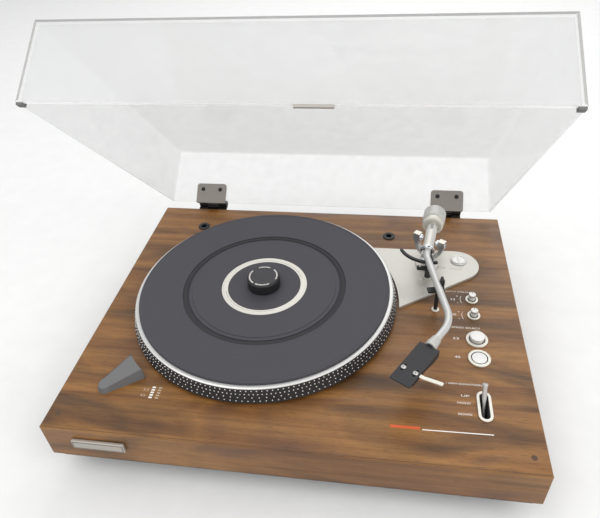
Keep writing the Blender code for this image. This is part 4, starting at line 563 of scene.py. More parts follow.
# Satin plating of the sleeve: a warm pale grey, softly lit.
SLEEVE = grained("satin_sleeve", 0.4, ("c7c5be", "d7d5ce"), (0.36, 0.46), Metallic=0.5)
# Pearl plating of the tube: a cooler grey with a soft gleam.
PEARL = grained("pearl_plated_tube", 0.5, ("bfbfbd", "cececb"), (0.34, 0.44), Metallic=0.6)
# Satin nickel of the rings and bezels: cream-toned, with a soft shine.
WARM_SATIN = grained("warm_nickel_satin", 0.4, ("d0ccc1", "e2ded3"), (0.34, 0.46), Metallic=0.45)
# Satin chrome of the fork: soft grey highlights instead of a mirror.
FORK = grained("satin_chrome", 0.8, ("adaca9", "bfbebb"), (0.24, 0.34), Metallic=0.8)
# Blasted and plated weight: a warm grey with a fine knurl.
WEIGHT = grained("plated_knurled_weight", 0.45, ("acaba5", "cac9c3"), (0.4, 0.52), 0.02,
                 Metallic=0.4)
# Polished plating: near mirror, a little uneven where the polish thins.
CHROME = grained("bright_chrome_plate", 2.5, ("dadcde", "e8eaec"), (0.06, 0.13), Metallic=1)
# Turned steel: a plain grey shine with fine tool marks.
STEEL = grained("turned_steel", 0.5, ("a5a6a7", "bfc0c1"), (0.24, 0.36), Metallic=1)
# Turned brass: a dull yellow shine.
BRASS = grained("turned_brass", 0.6, ("b08f4c", "caa966"), (0.24, 0.38), Metallic=1)
# Gold plating of the sockets: a clean, warm shine.
GOLD = grained("gold_plated_contact", 0.8, ("cba24b", "dfb862"), (0.16, 0.26), Metallic=1)
# Textured ABS: black that greys slightly where it catches the light.
BLACK_ABS = grained("textured_black_abs", 0.5, ("141517", "1d1e20"), (0.42, 0.55), 0.008)
# Smooth moulded ABS: black, with a wide dull highlight.
CAP_ABS = grained("smooth_black_cap", 1.2, ("121214", "1a1a1c"), (0.45, 0.55))
# The adapter's top is moulded matt, so that its lettering reads, and painted a lighter grey than
# its side: painted light from above.
CAP_TOP_LIT = grained("matt_cap_top_painted_light", 0.9, ("363538", "3e3d40"), (0.7, 0.8), 0.006)
# Charcoal ABS of the strobe hood: an even mid grey without a shine.
GREY_ABS = grained("charcoal_abs", 0.6, ("616161", "6d6d6d"), (0.45, 0.58), 0.01)
# Moulded polyphenylene of the arm parts: a flatter, greyer black.
SHELL_GREY = grained("dull_black_polymer", 0.5, ("1f1f21", "29292b"), (0.5, 0.62), 0.006)
# Fibre board of the tray: black, coarse and dry.
TRAY_BOARD = grained("black_fibre_board", 1.8, ("171615", "232120"), (0.7, 0.85), 0.04)
# Bronzed steel of the hinges: a warm grey satin lacquer.
HINGE = grained("bronzed_steel", 0.7, ("7f7973", "8f8983"), (0.4, 0.52), 0.006, Metallic=0.35)
# Oiled dark steel: nearly black, with a faint sheen.
HINGE_DARK = grained("oiled_dark_steel", 0.8, ("1f1d1d", "2c2a29"), (0.4, 0.52), Metallic=0.5)
# Ground rubber of the belt: black and dry.
BELT = grained("ground_belt_rubber", 0.9, ("121213", "1b1b1c"), (0.55, 0.7))
# Glass of the neon lamp: orange, smooth and glossy.
GLASS = grained("neon_lamp_glass", 1, ("c96c33", "e08a50"), (0.1, 0.18), Coat_Weight=0.6)
# Paper laminate of the circuit board: brown under a dull varnish.
BOARD = grained("pressed_board_laminate", 2.2, ("675330", "79633a"), (0.5, 0.62), 0.01)
# Varnished iron sheets of the transformer: thin grey-brown layers.
LAMINATE = grained("varnished_laminations", 0.8, ("5d5852", "756f68"), (0.4, 0.55), 0.03,
                   (30, 30, 1), Metallic=0.6)
# Cast acrylic of the lid: clear face on, a pale veil where it is seen aslant.
ACRYLIC = clear_sheet("cast_acrylic_sheet", "dcdddc", 0.12, 0.4, 0.05)
# Cemented joints between the panels: the sheet's thickness seen edge on, as a painted shade grey on
# top.
TOP_JOINT_SHADE = clear_sheet("acrylic_joint_painted_shade", "7f7e7c", 0.66, 0.78, 0.3)
# The same joints at the sides, in more light: a paler grey, painted light.
SIDE_JOINT_LIT = clear_sheet("acrylic_side_joint_painted_light", "918f8b", 0.6, 0.72, 0.3)
# The polished front rim's edge is painted white with a faint glow: a painted highlight of the light
# it catches.
PAINTED_GLOW_EDGE = finish("painted_glow_edge", "ffffff", Roughness=0.2, Emission_Strength=0.1,
                     Emission_Color=linear("ffffff"))
# Rubber pads on the lid's stops: a soft mid grey.
PAD = grained("grey_lid_pad", 0.8, ("646462", "717170"), (0.6, 0.75), 0.01)
# Polished edge of the acrylic: a painted highlight, whiter and less clear than the sheet.
ACRYLIC_EDGE_HIGHLIGHT = clear_sheet("acrylic_edge_painted_highlight", "f4f7f8", 0.55, 0.85, 0.12)
# Pressed foil strip on the lid: a thin, slightly bronze sheen.
STRIP = grained("pressed_foil_strip", 0.8, ("9f9a92", "b2ada5"), (0.38, 0.5), Metallic=0.3)
# Screen-printed white ink: flat, slightly rough and thin.
WHITE_INK = grained("white_screen_ink", 0.4, ("dcd8d1", "f3f0ea"), (0.55, 0.7))
# The same ink, worn: the brown of the veneer shows through.
DIM_INK = grained("worn_screen_ink", 0.4, ("a8947e", "c6b39d"), (0.55, 0.7))
# Dark printed or etched lines: a flat charcoal.
DARK_INK = grained("dark_screen_ink", 0.4, ("343230", "444240"), (0.55, 0.7))
# Engraving on the arm's plate: filled with a thin grey paint.
PLATE_INK = grained("thin_grey_paint", 0.4, ("86847e", "989690"), (0.5, 0.65))
# Veneer where it is rubbed or cut: dark and dull, with the dirt of years.
WORN_VENEER = grained("rubbed_dark_veneer", 0.8, ("423122", "5b4533"), (0.6, 0.75))
# Orange printed bar: a flat, warm accent.
ORANGE_INK = grained("orange_screen_ink", 0.4, ("bb4a22", "d66335"), (0.5, 0.65))
# Inside of the lever's slot: the grey moulding under the deck, in half shade.
SLOT_GREY = grained("shaded_grey_moulding", 1, ("404041", "4c4c4d"), (0.6, 0.75))
# Painted shade deep in a gap: black, with nothing to catch the light.
SHADOW = grained("painted_gap_shade", 1, ("080809", "101011"), (0.7, 0.85))
# Pale paper floor of the studio: even and matt.
FLOOR = grained("pale_paper_floor", 30, ("e0e0de", "e4e4e2"), (0.75, 0.85))
# Plate on the plinth's front: a duller nickel, with an etched line.
BADGE_METAL = grained("dull_nickel_badge", 0.5, ("aaa49c", "bcb6ae"), (0.36, 0.5), Metallic=0.6)


# Parts that repeat round an arc

def arc_tree():
    """Geometry Nodes that copy one small part round an arc: dots, ticks, letters and screws."""
    tree = bpy.data.node_groups.new("parts_round_an_arc", "GeometryNodeTree")
    named = {}
    for name, kind in (("Part", "Geometry"), ("Count", "Int"), ("Radius", "Float"),
                       ("First Angle", "Float"), ("Step Angle", "Float"), ("Finish", "Material")):
        named[name] = tree.interface.new_socket(name, in_out="INPUT",
                                                socket_type=f"NodeSocket{kind}").identifier
    tree.interface.new_socket("Copies", in_out="OUTPUT", socket_type="NodeSocketGeometry")
    given = add(tree, "NodeGroupInput").outputs
    count = add(tree, "GeometryNodeInputIndex").outputs[0]
    angle = add(tree, "Math", {0: count, 1: given["Step Angle"], 2: given["First Angle"]},
                operation="MULTIPLY_ADD").outputs[0]
    along = add(tree, "Math", {0: angle}, operation="COSINE").outputs[0]
    across = add(tree, "Math", {0: angle}, operation="SINE").outputs[0]
    way = add(tree, "CombineXYZ", {"X": along, "Y": across}).outputs[0]
    place = add(tree, "VectorMath", {0: way, "Scale": given["Radius"]},
                operation="SCALE").outputs[0]
    points = add(tree, "GeometryNodePoints", {"Count": given["Count"], "Position": place})
    turn = add(tree, "CombineXYZ", {"Z": angle}).outputs[0]
    copies = add(tree, "GeometryNodeInstanceOnPoints", {
        "Points": points.outputs[0], "Instance": given["Part"], "Rotation": turn}).outputs[0]
    real = add(tree, "GeometryNodeRealizeInstances", {0: copies}).outputs[0]
    dressed = add(tree, "GeometryNodeSetMaterial", {"Geometry": real, "Material": given["Finish"]})
    add(tree, "NodeGroupOutput", {0: dressed.outputs[0]})
    return tree, named


ARC_TREE, ARC_INPUTS = arc_tree()


def round_the_arc(part, count, radius, surface, first=0, step=None):
    """The part's copies on an arc, as one plain shape; the part is drawn at zero, along X."""
    holder = placed("one_part", meshed("one_part", part))
    copies = holder.modifiers.new("copies", "NODES")
    copies.node_group = ARC_TREE
    values = {"Count": count, "Radius": float(radius), "First Angle": math.radians(first),
              "Step Angle": math.radians(360 / count if step is None else step), "Finish": surface}
    for name, value in values.items():
        copies[ARC_INPUTS[name]] = value
    result = applied(holder)
    holder.modifiers.remove(copies)
    bpy.data.objects.remove(holder)
    return from_mesh(result)


# Plinth, feet and plate

def dress_cabinet():
    """The feet, the front plate, the transit bushes and the rear sockets."""
    foot = [(0, 21.4), (20, 21.4), (22, 21.4, 0.8), (18, 8.2, 2), (24, 7, 1.2),
            (24, 0.01, 1.5), (21, 0.01), (20, 1.2), (0, 1.2)]
    for x, side in ((-187, "left"), (187, "right")):
        for y, end in ((-142.8, "front"), (142.8, "rear")):
            node = f"foot_{end}_{side}"
            where = spot(DECK, (x, y, 0))
            where.translation.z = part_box(node)[0].z
            put(f"rubber_{node}", lathe(foot, steps=96), where, FOOT_RUBBER, node)

    thick = 3.5
    plate = block((53.5, thick, 11.8), (0, 0, 0), 0.9, 3)
    face = block((49.1, 0.5, 7.6), (0, -thick / 2, 0), 0.2)
    where = spot(DECK, (-178, -PLINTH_DEPTH / 2 - SEAT - thick / 2, -18.7))
    put("front_plate", joined(plate, face), where, BADGE_METAL, "front_badge")
    line = [block(size, middle) for size, middle in (
        ((50.6, 0.24, 0.35), (0, 0, 4.35)), ((50.6, 0.24, 0.35), (0, 0, -4.35)),
        ((0.35, 0.24, 9), (25.2, 0, 0)), ((0.35, 0.24, 9), (-25.2, 0, 0)))]
    put_on("front_plate_line", joined(*line), spot(where, (0, -1.78, 0)), DARK_INK, "front_badge")

    bush = [(3.8, 1.2, 0.4), (7.8, 1.2, 0.5), (7.8, 0), (6.2, 0), (6.2, -15), (3.8, -15)]
    for x, y, side in ((-165.8, 146.1, "left"), (90, 140.8, "right")):
        node = f"transit_bush_{side}"
        put(f"rubber_{node}", lathe(bush, True, 64), spot(DECK, (x, y, SEAT)), BLACK_ABS, node)

    # The three sockets on the rear panel have gold-plated collars.
    sockets = (-66.2, -48.2, -30.2)
    put_node("rear_panel", "rear_terminals", DECK, (BLACK_ABS, GOLD), 0.4, rule=lambda middle: (
        middle.y > 193.3 and any(abs(middle.x - x) < 4.8 for x in sockets)))


# Platter, mat, ring and adapter

def rim_finish(middle):
    """The flared side is lacquered, the underside is bare casting and the top is bright."""
    radius = middle.xy.length
    if radius > 147 and middle.z < 20.8:
        return 1
    return 2 if radius < 146 and middle.z < 21 else 0


def dress_platter():
    """The platter with its dotted side, the mat, the trim ring and the 45 adapter."""
    rim = [(142.9, 21.8), (145.6, 21.8, 0.8), (146.9, 21.2, 0.3), (147.05, 20.6), (150.6, 6.1),
           (151, 5.6), (151, 4.5, 0.5), (140.8, 4.5), (140.8, 17.8), (75, 17.8), (75, 4.5),
           (72, 4.5), (72, 17.8), (14, 17.8), (14, 6.6), (3.9, 6.6), (3.9, 20.8), (142.9, 20.8)]
    put("cast_platter", paint(lathe(rim, True, 192), rim_finish), PLATTER,
        (BRIGHT_RIM, RIM_LACQUER, CAST), "platter")

    # Four rows of dots, each at its share of the way down and out along the flared side.
    dot = [(0, 0.45), (0.5, 0.45), (0.66, 0.3), (0.66, -0.2), (0, -0.2)]
    rows = []
    for share, count in ((0.18, 180), (0.4, 216), (0.617, 133), (0.845, 160)):
        facing_out = moved(lathe(dot, steps=10), turn=(0, 103.6, 0))
        # The dots carry a painted glint.
        row = round_the_arc(facing_out, count, 146.7 + 4.2 * share, GLINT_DOTS)
        rows.append(moved(row, (0, 0, 21.8 - 17.3 * share)))
    put_on("strobe_dots", joined(*rows), PLATTER, GLINT_DOTS, "platter")

    mat = [(3.9, 24.4), (41.5, 24.4), (41.5, 23.5), (49.3, 23.5), (49.3, 24.4, 0.2),
           (82.1, 24.4, 0.15), (82.3, 23.7), (86.3, 23.6, 0.1), (86.5, 22.9), (88.8, 22.9),
           (89, 23.5, 0.1), (93.3, 23.5), (93.5, 24.4, 0.15), (138.8, 24.4, 2),
           (140.6, 24.9, 1.2), (142.2, 24.9, 0.5), (142.5, 24.3), (142.5, 21.1), (3.9, 21.1)]
    # Faces in the groove take the painted shade.
    shape = paint(lathe(mat, True, 192),
                  lambda middle: middle.z < 24.1 and 86.2 < middle.xy.length < 94)
    put("ribbed_mat", shape, PLATTER, (MAT_RUBBER, GROOVE_SHADE), "platter_mat")

    ring = [(41.8, 24.4, 0.25), (49, 24.4, 0.25), (49, 23.8), (41.8, 23.8)]
    put("spun_trim_ring", lathe(ring, True, 160), PLATTER, RING_PEARL, "mat_trim_ring")
    scales = []
    for radius, count, long, first, step in (
            (44.1, 72, 1, 20, 1.35), (44.1, 72, 1, 200, 1.35), (46.9, 90, 0.8, 5, 4)):
        tick = block((long, 0.22, 0.06), (0, 0, 24.43))
        scales.append(round_the_arc(tick, count, radius, DARK_INK, first, step))
    put_on("trim_ring_scale", joined(*scales), PLATTER, DARK_INK, "mat_trim_ring")

    cap = [(0, 38), (16.9, 38, 0.4), (18.3, 37, 0.5), (18.8, 36, 0.4), (18.8, 25.2, 0.4),
           (18.2, 24.7), (3.9, 24.7), (3.9, 35.9), (0, 35.9)]
    shape = lathe(cap, steps=240, ripple=ribbed(0.28, 18.5, (26, 35.8)))
    # The cap's top takes a painted lighter grey, the light that falls on it from above.
    put("adapter_cap", paint(shape, lambda middle: middle.z > 37.9), PLATTER, (CAP_ABS, CAP_TOP_LIT),
        "adapter_45", crease=40)
    # Four words round the cap, as rows of small blocks between two angles.
    words = [round_the_arc(block((1.5, 0.95, 0.06), (0, 0, 38.03)), round((last - first) / 5.6),
                           15.6, WHITE_INK, first, 5.6)
             for first, last in ((72, 124), (-15, 55), (-112, -48), (-207, -125))]
    put_on("adapter_print", joined(*words), PLATTER, WHITE_INK, "adapter_45")


# Strobe housing, knobs, buttons and lever

def dress_controls():
    """Everything on the deck that a hand sets, and the strobe housing."""
    put_node("strobe_hood", "strobe_housing", STROBE, GREY_ABS, 0.7, 3)

    ring = [(4.7, 1.4, 0.3), (7, 1.4, 0.35), (7, 0), (4.7, 0)]
    # A black disc between knob and bezel is painted shade, the dark under the knob's skirt.
    shade_disc = [(3.3, 0.25), (4.75, 0.25), (4.75, 0), (3.3, 0)]
    knob = [(0, 8.8), (2.7, 8.8), (2.9, 9, 0.1), (4, 9, 0.4), (4, 6, 0.15), (3.5, 5.8), (3.5, 5.1),
            (4, 4.9, 0.15), (4, 2.3, 0.2), (3.2, 2), (3.2, 0.6), (3, 0.6), (3, -20), (0, -20)]
    ribs = ribbed(0.14, 3.95, (6.1, 8.7), (2.4, 4.8))
    for name, y in TRIM_Y.items():
        where = spot(DECK, (CONTROL_X, y, 0))
        raised = spot(where, (0, 0, SEAT))
        bezel, turning = f"trim_bezel_{name}", f"speed_trim_knob_{name}"
        put(f"trim_ring_{name}", lathe(ring, True, 72), raised, WARM_SATIN, bezel)
        put_on(f"trim_shade_disc_{name}", lathe(shade_disc, True, 48), raised, SHADOW, bezel)
        put(f"trim_knob_{name}", lathe(knob, steps=96, ripple=ribs), where, SATIN, turning,
            crease=40)
        line = block((0.5, 2.5, 0.1), (0, 2.4, 9.02))
        put_on(f"trim_pointer_{name}", line, where, DARK_INK, turning)

    ring = [(8.5, 1.6), (8.9, 1.6, 0.2), (9.1, 1.3, 0.2), (10.3, 1.3, 0.2), (10.5, 1.6, 0.2),
            (11.4, 1.6, 0.4), (11.4, 0), (8.5, 0)]
    # The well is a black liner in the hole: painted shade in the gap round the button.
    well = [(8.2, 1.5), (8.45, 1.5), (8.45, -8), (8.2, -8)]
    button = [(0, -0.3), (4.8, -0.15), (6.8, 0, 0.5), (7.6, 0, 0.6), (7.6, -9), (3, -9),
              (3, -25), (0, -25)]
    # At rest the 33 button stands up and the 45 button is pressed in.
    for name, y, top in (("33", -37.7, 6.5), ("45", -64.2, 2)):
        where = spot(DECK, (CONTROL_X, y, 0))
        raised = spot(where, (0, 0, SEAT))
        bezel = f"button_bezel_{name}"
        put(f"button_ring_{name}", lathe(ring, True, 96), raised, WARM_SATIN, bezel)
        put_on(f"button_well_shade_{name}", lathe(well, True, 72), raised, SHADOW, bezel)
        put(f"button_cap_{name}", lathe(button, steps=96), spot(where, (0, 0, top)), SATIN,
            f"speed_button_{name}")

    put_node("lever_slot_ring", "lever_bezel", DECK, WARM_SATIN, 0.45, 3)
    # The liner is an open well: two walls without ends, joined along their rims.
    bottom, top = -15.5, -0.05
    liner = slab(stadium(8.1, 29.5), bottom, top)
    inside = slab(stadium(7.5, 28.9), bottom, top)
    for shape in (liner, inside):
        ends = [face for face in shape.faces if abs(face.normal.z) > 0.9]
        bmesh.ops.delete(shape, geom=ends, context="FACES")
    bmesh.ops.reverse_faces(inside, faces=inside.faces)
    liner = joined(liner, inside)
    for height in (bottom, top):
        edges = [edge for edge in liner.edges if edge.is_boundary
                 and all(abs(vertex.co.z - height) < 0.01 for vertex in edge.verts)]
        bmesh.ops.bridge_loops(liner, edges=edges)
    put_on("lever_slot_liner", outward(liner), spot(DECK, (LEVER_X, -123.8, 0)), SLOT_GREY,
           "lever_bezel", crease=40)
    shaft = [(0, 0), (1.6, 0), (1.6, 20), (2.1, 28, 8), (2.4, 37, 4), (2.9, 40.6, 1),
             (2.9, 42, 0.6), (0, 42)]
    boss = [(1.7, 3.8), (3.6, 3.8), (3.6, -3.8), (1.7, -3.8)]
    put("lift_lever", joined(lathe(shaft, steps=64), moved(lathe(boss, True, 48), turn=(0, 90, 0))),
        LEVER, SATIN, "cue_lever")


# Arm base, cue lift and rest

def dress_arm_base():
    """The plate under the arm, its engraving, the pillar, the dial, the cue lift and the rest."""
    put_node("arm_base_plate", "arm_plate", DECK, PLATE_SILVER, 0.5, 3)
    oval = [(x * 4.6, y * 1.9) for x, y in arc((0, 0), 1, 0, 360, 40)[:-1]]
    engraving = bmesh.new()
    outer = [engraving.verts.new((x, y, 0.02)) for x, y in oval]
    inner = [engraving.verts.new((x * 0.88, y * 0.8, 0.02)) for x, y in oval]
    skin(engraving, outer, inner)
    put_on("plate_engraving", engraving, spot(DECK, (154.5, 76.2, 3.8)), DARK_INK, "arm_plate")
    words = moved(letters("SIDE BALANCE", 165.4, 179.6, 75, 2), (0, 0, 3.78))
    put_on("plate_words", upward(words), DECK, PLATE_INK, "arm_plate")

    pillar = [(3.4, 15.5), (9.2, 15.5, 0.5), (9.2, 13.2, 0.5), (8, 12.6), (8, 7.2, 0.8),
              (9.6, 6.3, 0.5), (13.7, 6.1, 0.4), (14.5, 5.5, 0.4), (14.5, 4.1), (6.5, 4.1),
              (6.5, -14), (3.4, -14)]
    put("arm_pillar_turned", paint(lathe(pillar, True, 96), lambda middle: middle.z > 12.5),
        spot(DECK, (*PIVOT, 0)), (PLATE_SILVER, CHROME), "arm_pillar")

    dial = [(0, 5.5), (7, 5.5, 0.3), (7.3, 6.1), (8.4, 6.3, 0.3), (8.4, 5.2, 0.2),
            (9.2, 5.1, 0.2), (9.8, 4.9, 0.3), (9.8, 4.1), (2, 4.1), (2, -8), (0, -8)]
    where = spot(DECK, (176, 91, 0))
    grip = block((2.4, 13.6, 1.2), (0, 0, 5.65), 0.5, 3)
    put_on("anti_skate_grip", grip, where, SATIN, "anti_skate_dial")
    put("anti_skate_knob", lathe(dial, steps=96, ripple=ribbed(0.35, 8.3, (4, 6.5))), where,
        SATIN, "anti_skate_dial", crease=40)
    ticks = round_the_arc(block((0.9, 0.2, 0.05), (0, 0, 3.83)), 11, 11.4, PLATE_INK, -60, 24)
    put_on("anti_skate_scale", ticks, where, PLATE_INK, "arm_plate")

    put_node("lift_bar", "cue_platform", DECK, BLACK_ABS, 0.5)
    put_node("lift_guide", "cue_lift_guide", DECK, (BLACK_ABS, PLATE_SILVER), 0.3,
             rule=lambda middle: middle.z < 5.8)
    lug = joined(block((10.5, 4.6, 4.6), (129.4, 57.4, 17.2), 0.8),
                 block((4, 3.6, 3.6), (134.9, 56.8, 17.2), 0.4))
    put_on("lift_lug", lug, DECK, BLACK_ABS, "cue_lift_guide")
    screw = lathe([(0, 0.7), (0.9, 0.7, 0.2), (1.3, 0.3), (1.3, 0), (0, 0)], steps=24)
    put_on("lift_lug_screw", screw, spot(DECK, (127.6, 57.4, 19.45)), STEEL, "cue_lift_guide")
    # The rest's collar on the deck is nickel, and all above it is black.
    put_node("arm_rest_cradle", "arm_rest", REST, (BLACK_ABS, WARM_SATIN), 0.5,
             rule=lambda middle: -39.95 < middle.z < -37.8)


# Arm

def tube_path():
    """The S-shaped tube's middle line in the swing's millimetres, from sleeve to shell."""
    points = [Vector((0, -16)), Vector((0, -30.1))]
    for length, bearing in ((107.4, 20.16), (32.5, 20.16 - 42.86)):
        angle = math.radians(bearing)
        points.append(points[-1] + length * Vector((math.sin(angle), -math.cos(angle))))
    path = points[:1]
    for index, bend in ((1, 40), (2, 62)):
        corner = [points[index - 1], (*points[index], bend), points[index + 1]]
        path += rounded(corner, False, 20)[1:-1]
    return path + points[3:]


def dress_arm():
    """The yoke, the sleeve and tube, the weight with its dial, and the screws they turn on."""
    put_node("arm_fork", "arm_yoke", YOKE, (FORK, WARM_SATIN), 0.6, 3,
             lambda middle: middle.z > 4.8)
    screw = [(0, 20.7), (1.6, 20.7), (2.4, 20.1, 0.3), (2.4, 12), (4.1, 12, 0.4),
             (4.1, 9.6, 0.4), (2.4, 9.6), (2.4, 8.1), (0, 8.1)]
    for turn, side in ((90, "right"), (-90, "left")):
        put(f"pivot_screw_{side}", lathe(screw, steps=48), spot(YOKE, turn=(0, turn, 0)),
            CHROME, f"arm_pivot_screw_{side}")

    along = spot(SWING, turn=(-90, 0, 0))
    sleeve = [(0, 55.8), (4.3, 55.8), (4.8, 55.3), (4.8, 27.5), (6.3, 27.5, 0.6),
              (6.3, -18.6, 0.2), (8.3, -19.2, 0.5), (8.3, -20.9, 0.6), (6.3, -21.5, 0.1),
              (6.3, -22, 0.5), (4.1, -22), (4.1, -16), (0, -16)]
    # The collar at the sleeve's front end is polished.
    shape = paint(lathe(sleeve, steps=96),
                  lambda middle: middle.z < -17.9 and middle.xy.length > 4.2)
    put("arm_sleeve_turned", shape, along, (SLEEVE, CHROME), "arm_sleeve")
    window = moved(slab(stadium(3.4, 11), 5.7, 6.45, 0.15), (0, 21, 0))
    put_on("sleeve_window", window, SWING, PLATE_INK, "arm_sleeve")
    put("arm_tube_bent", tube(tube_path(), 3.8, 40), SWING, PEARL, "arm_tube")

    dial = [(5.1, 37), (12.4, 37, 0.3), (12.4, 30.8, 0.3), (11.2, 30, 0.3), (8.4, 30),
            (8, 31), (5.1, 31)]
    put("force_dial_ring", lathe(dial, True, 180, ribbed(0.2, 12.3, (34.2, 37.1))), along,
        WARM_SATIN, "force_dial", crease=40)
    marks = [round_the_arc(block((0.06, 0.25, long), (0, 0, 32.4)), count, 12.43, DARK_INK)
             for count, long in ((40, 1.4), (8, 2.4))]
    put_on("force_dial_scale", joined(*marks), along, DARK_INK, "force_dial")

    weight = [(0, 57.3), (5.1, 57.3), (5.1, 37.3), (11.8, 37.3, 0.3), (12.8, 37.6, 0.3),
              (13.2, 39), (13.7, 39.4, 0.3), (13.7, 56.6, 1.2), (11.2, 60.3, 2.4),
              (8.2, 60.3), (7.9, 59.9), (0, 59.9)]
    put("knurled_weight", lathe(weight, steps=240, ripple=ribbed(0.5, 13.6, (39.8, 56.2))), along,
        WEIGHT, "counterweight", crease=50)


def dress_head():
    """The locking nut, the headshell with its screws, the cartridge and the finger lift."""
    forward = spot(HEAD, turn=(90, 0, 0))
    nut = [(4.1, 10.8), (6, 10.8, 0.5), (6, 4.6, 0.4), (5.6, 3.8), (5, -2.2, 0.4), (4.1, -2.2)]
    put("locking_collar", lathe(nut, True, 72, ribbed(0.32, 5.95, (5, 10.3))), forward, WEIGHT,
        "headshell_nut", crease=50)

    put_node("head_shell", "headshell", HEAD, SHELL_GREY, 0.35)
    # Two slotted screws, 12.7 mm apart, hold the cartridge through the shell's top.
    apart = 12.7
    where = spot(HEAD, (0, -48, 2.2))
    head = lathe([(0, 1), (1.4, 1, 0.2), (2.1, 0.5, 0.2), (2.1, 0), (0, 0)], steps=32)
    washer = lathe([(1, 0.3, 0.1), (2.5, 0.3, 0.1), (2.5, 0), (1, 0)], True, 32)
    # Each slot is a black bar on the head: painted shade in place of a cut slot.
    cut = block((0.5, 2.6, 0.3), (0, 0, 0.98))
    put_on("shell_screws", round_the_arc(joined(head, washer), 2, apart / 2, FORK), where, FORK,
           "headshell")
    put_on("shell_screw_slot_shade", round_the_arc(cut, 2, apart / 2, SHADOW), where, SHADOW,
           "headshell")
    put_node("cartridge_body", "cartridge", HEAD, CAP_ABS, 0.3)
    put_node("stylus_holder", "stylus", HEAD, GREY_ABS, 0.2)
    put_node("finger_rest", "finger_lift", HEAD, WARM_SATIN, 0.4, 3)


# Lid and hinges

def lid_finish(face):
    """The stops at the front corners, the rim and the clear walls have their own finishes."""
    middle = face.calc_center_median()
    if 217.8 < abs(middle.x) < 224.1 and -375.6 < middle.y < -369.2 and middle.z < -1.05:
        return 2
    # The rim's underside takes a painted highlight, and at the front a painted white glow.
    if face.normal.z < -0.8 and middle.z < 0:
        return 4 if middle.y < -372 else 1
    return 0


def dress_lid():
    """The clear lid with its stops and strip, the hinge leaves and the brackets."""
    lid = node_shape("lid", LID, 0.8, 2, 50)
    for face in lid.faces:
        face.material_index = lid_finish(face)
    # The outer front panel gets a band along each edge, where the joints show through; the bands
    # are painted shade on top and painted light at the sides.
    heart = Vector((0, -193, 37))
    front = [face for face in lid.faces if face.calc_area() > 9000 and face.normal.y < -0.8
             and face.normal.dot(face.calc_center_median() - heart) > 0]
    for panel in front:
        bands = bmesh.ops.inset_individual(lid, faces=[panel], thickness=3.2)["faces"]
        for band in bands:
            middle = band.calc_center_median()
            band.material_index = 5 if abs(middle.x) > 200 else (3 if middle.z > 20 else 0)
    put("clear_cover", lid, LID, (ACRYLIC, ACRYLIC_EDGE_HIGHLIGHT, PAD, TOP_JOINT_SHADE, PAINTED_GLOW_EDGE, SIDE_JOINT_LIT),
        "lid", crease=50)
    put_on("lid_strip", block((32, 2.8, 2.4), (26, -374.2, -2.3), 0.3), LID, STRIP, "lid")

    corners = [(-21.6, 0.9), (21.6, 0.9), (21.6, 29, 4), (-21.6, 29, 4)]
    barrel = [(2, 8), (4.5, 8, 0.3), (4.5, -8, 0.3), (2, -8)]
    screw = [(0, 1), (2, 1, 0.3), (2.9, 0.2), (2.9, 0), (0, 0)]
    for side, name in ((-1, "left"), (1, "right")):
        leaf, bracket = f"hinge_leaf_{name}", f"hinge_bracket_{name}"
        where = spot(LID, (side * HINGE_X, 0, 0))
        plate = slab(rounded(corners, steps=6), -0.75, 0.75, 0.3)
        # The plate lies against the lid's rear wall, and the foot reaches under it to the barrel.
        shape = joined(moved(plate, (0, -14.93, -3.3), (90, 0, 0)),
                       block((16, 15.6, 1.5), (0, -7.8, -2.05), 0.3),
                       moved(lathe(barrel, True, 48), turn=(0, 90, 0)),
                       block((41, 5.6, 1.5), (0, -12.6, -2.05), 0.3))
        put(f"leaf_{name}", paint(shape, lambda middle: middle.y > -13.9), where,
            (HINGE, HINGE_DARK), leaf, crease=40)
        screws = [moved(lathe(screw, steps=24), (across, -15.68, 17.2), (90, 0, 0))
                  for across in (-12.6, 12.6)]
        put_on(f"leaf_screws_{name}", joined(*screws), where, HINGE_DARK, leaf)
        put_node(f"bracket_{name}", bracket, DECK, HINGE_DARK, 0.3)
        channel = joined(block((27.4, 1.6, 8.5), (0, 206, -7.2), 0.3), *[
            block((1.6, 14, 8.5), (across, 199.2, -7.2), 0.3) for across in (-12.9, 12.9)])
        put_on(f"bracket_channel_{name}", channel, spot(DECK, (side * HINGE_X, 0, 0)), HINGE_DARK,
               bracket, crease=40)


# Print on the deck

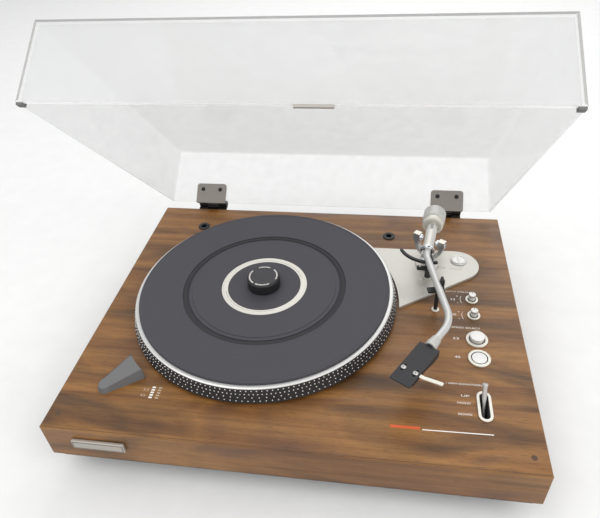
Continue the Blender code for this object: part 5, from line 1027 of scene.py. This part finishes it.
def dress_print():
    """Plain words, numbers and lines beside the controls, and the orange bar with its rule."""
    white = [letters(*row) for row in (
        ("PITCH ADJUST", 158, 186, 37.4, 2.3), ("33", 162.4, 167.8, 24.2, 2.9),
        ("45", 162.6, 167.6, -0.5, 2.9), ("SPEED SELECT", 161.3, 191.5, -20.5, 2.3),
        ("33", 161.5, 167.8, -37.2, 3), ("45", 161.8, 167.5, -63.3, 3),
        ("/ ARM ELEVATION", 150.8, 185.7, -98.4, 2.3), ("UP", 164.6, 172.5, -112.5, 2.4),
        ("HOLD", 160.6, 172.7, -121, 2.4), ("DOWN", 160.6, 173, -134, 2.4))]
    # Beside each trimmer: an arc, a plus sign and a minus sign.
    for y in TRIM_Y.values():
        white.append(stroke(arc((CONTROL_X, y), 12.7, 152, 208, 12), 0.45))
        for x, up, other_x, other_up in (
                (169.4, 5.4, 171.6, 5.4), (170.5, 6.5, 170.5, 4.3), (169.4, -5.8, 171.6, -5.8)):
            white.append(stroke([(x, y + up), (other_x, y + other_up)], 0.4))
    white.append(stroke([(127, -155), (190.4, -154)], 1))
    dim = [letters("33", -149.3, -143.1, -137, 3), letters("45", -150.4, -144.2, -144, 3)]
    # Two columns of bars by the strobe housing, the right one worn.
    for row in range(5):
        for column, ink, wide in ((0, white, 1.9), (1, dim, 1.6)):
            x = -140.4 + column * 6.6
            y = -133.6 - row * 3.1
            ink.append(stroke([(x, y), (x + 3.6, y)], wide))
    # The sheets of veneer meet in a thin dark line, and the lid's stops have rubbed two spots.
    worn = stroke([(-234, -189.2), (234, -189.2)], 0.6)
    for x, y in ((-223.7, -173.6), (221.9, -173.4)):
        worn.faces.new([worn.verts.new((*point, 0.04))
                        for point in arc((x, y), 2.7, 0, 360, 24)[:-1]])
    bar = stroke([(97.8, -153.8), (125.1, -153.8)], 3)
    for name, shape, ink in (
            ("deck_print", joined(*white), WHITE_INK), ("deck_print_worn", joined(*dim), DIM_INK),
            ("deck_wear", worn, WORN_VENEER), ("deck_bar", bar, ORANGE_INK)):
        put_on(name, upward(shape), DECK, ink, "plinth")


def dress_inside():
    """Finishes for the nodes that keep their own shape, most of them out of sight."""
    for surface, names in (
            (WALNUT, "plinth"), (TRAY_BOARD, "bottom_tray"), (BELT, "drive_belt"),
            (BRASS, "bearing_housing motor_pulley"), (LAMINATE, "power_transformer"),
            (STEEL, "thrust_ball spindle motor lever_bracket trim_potentiometers"),
            (BOARD, "control_board"), (GLASS, "strobe_lamp"), (BLACK_ABS, "switch_block")):
        for name in names.split():
            NODES[name].data.materials.clear()
            NODES[name].data.materials.append(surface)


# Studio

def set_studio():
    """A pale floor, soft light from above and the front, and the camera of the photograph."""
    floor = bmesh.new()
    floor.faces.new([floor.verts.new((x, y, 0)) for x, y in ((-6, -6), (6, -6), (6, 6), (-6, 6))])
    mesh = meshed("studio_floor", floor)
    mesh.materials.append(FLOOR)
    piece = placed("studio_floor", mesh)

    world = bpy.data.worlds.new("studio")
    world.use_nodes = True
    background = world.node_tree.nodes["Background"]
    background.inputs["Color"].default_value = linear("f3f4f6")
    background.inputs["Strength"].default_value = 0.88
    bpy.context.scene.world = world
    # Each lamp's place and size are in metres, and its power in watts.
    for name, at, size, power in (("key", (-0.9, -0.7, 1.9), 1.8, 14),
                                  ("fill", (1.3, -0.9, 1.3), 1.2, 14),
                                  ("back", (0.2, 1.6, 1.5), 1.6, 13)):
        lamp = bpy.data.lights.new(name, "AREA")
        lamp.size = size
        lamp.energy = power
        light = placed(name, lamp)
        light.location = at
        aim = Vector((0, 0, 0.05)) - Vector(at)
        light.rotation_euler = aim.to_track_quat("-Z", "Y").to_euler()

    # The photograph's own view, fitted to the plinth's and the platter's edges.
    lens = bpy.data.cameras.new("photo_camera")
    lens.lens = 33.852
    lens.sensor_width = 36
    camera = placed("photo_camera", lens)
    camera.location = DECK @ Vector((84.62, -470.75, 449.27))
    camera.rotation_euler = [math.radians(angle) for angle in (51.444, 3.121, 8.295)]
    bpy.context.scene.camera = camera
    bpy.context.scene.view_settings.view_transform = "Standard"


dress_cabinet()
dress_platter()
dress_controls()
dress_arm_base()
dress_arm()
dress_head()
dress_lid()
dress_print()
dress_inside()
set_studio()
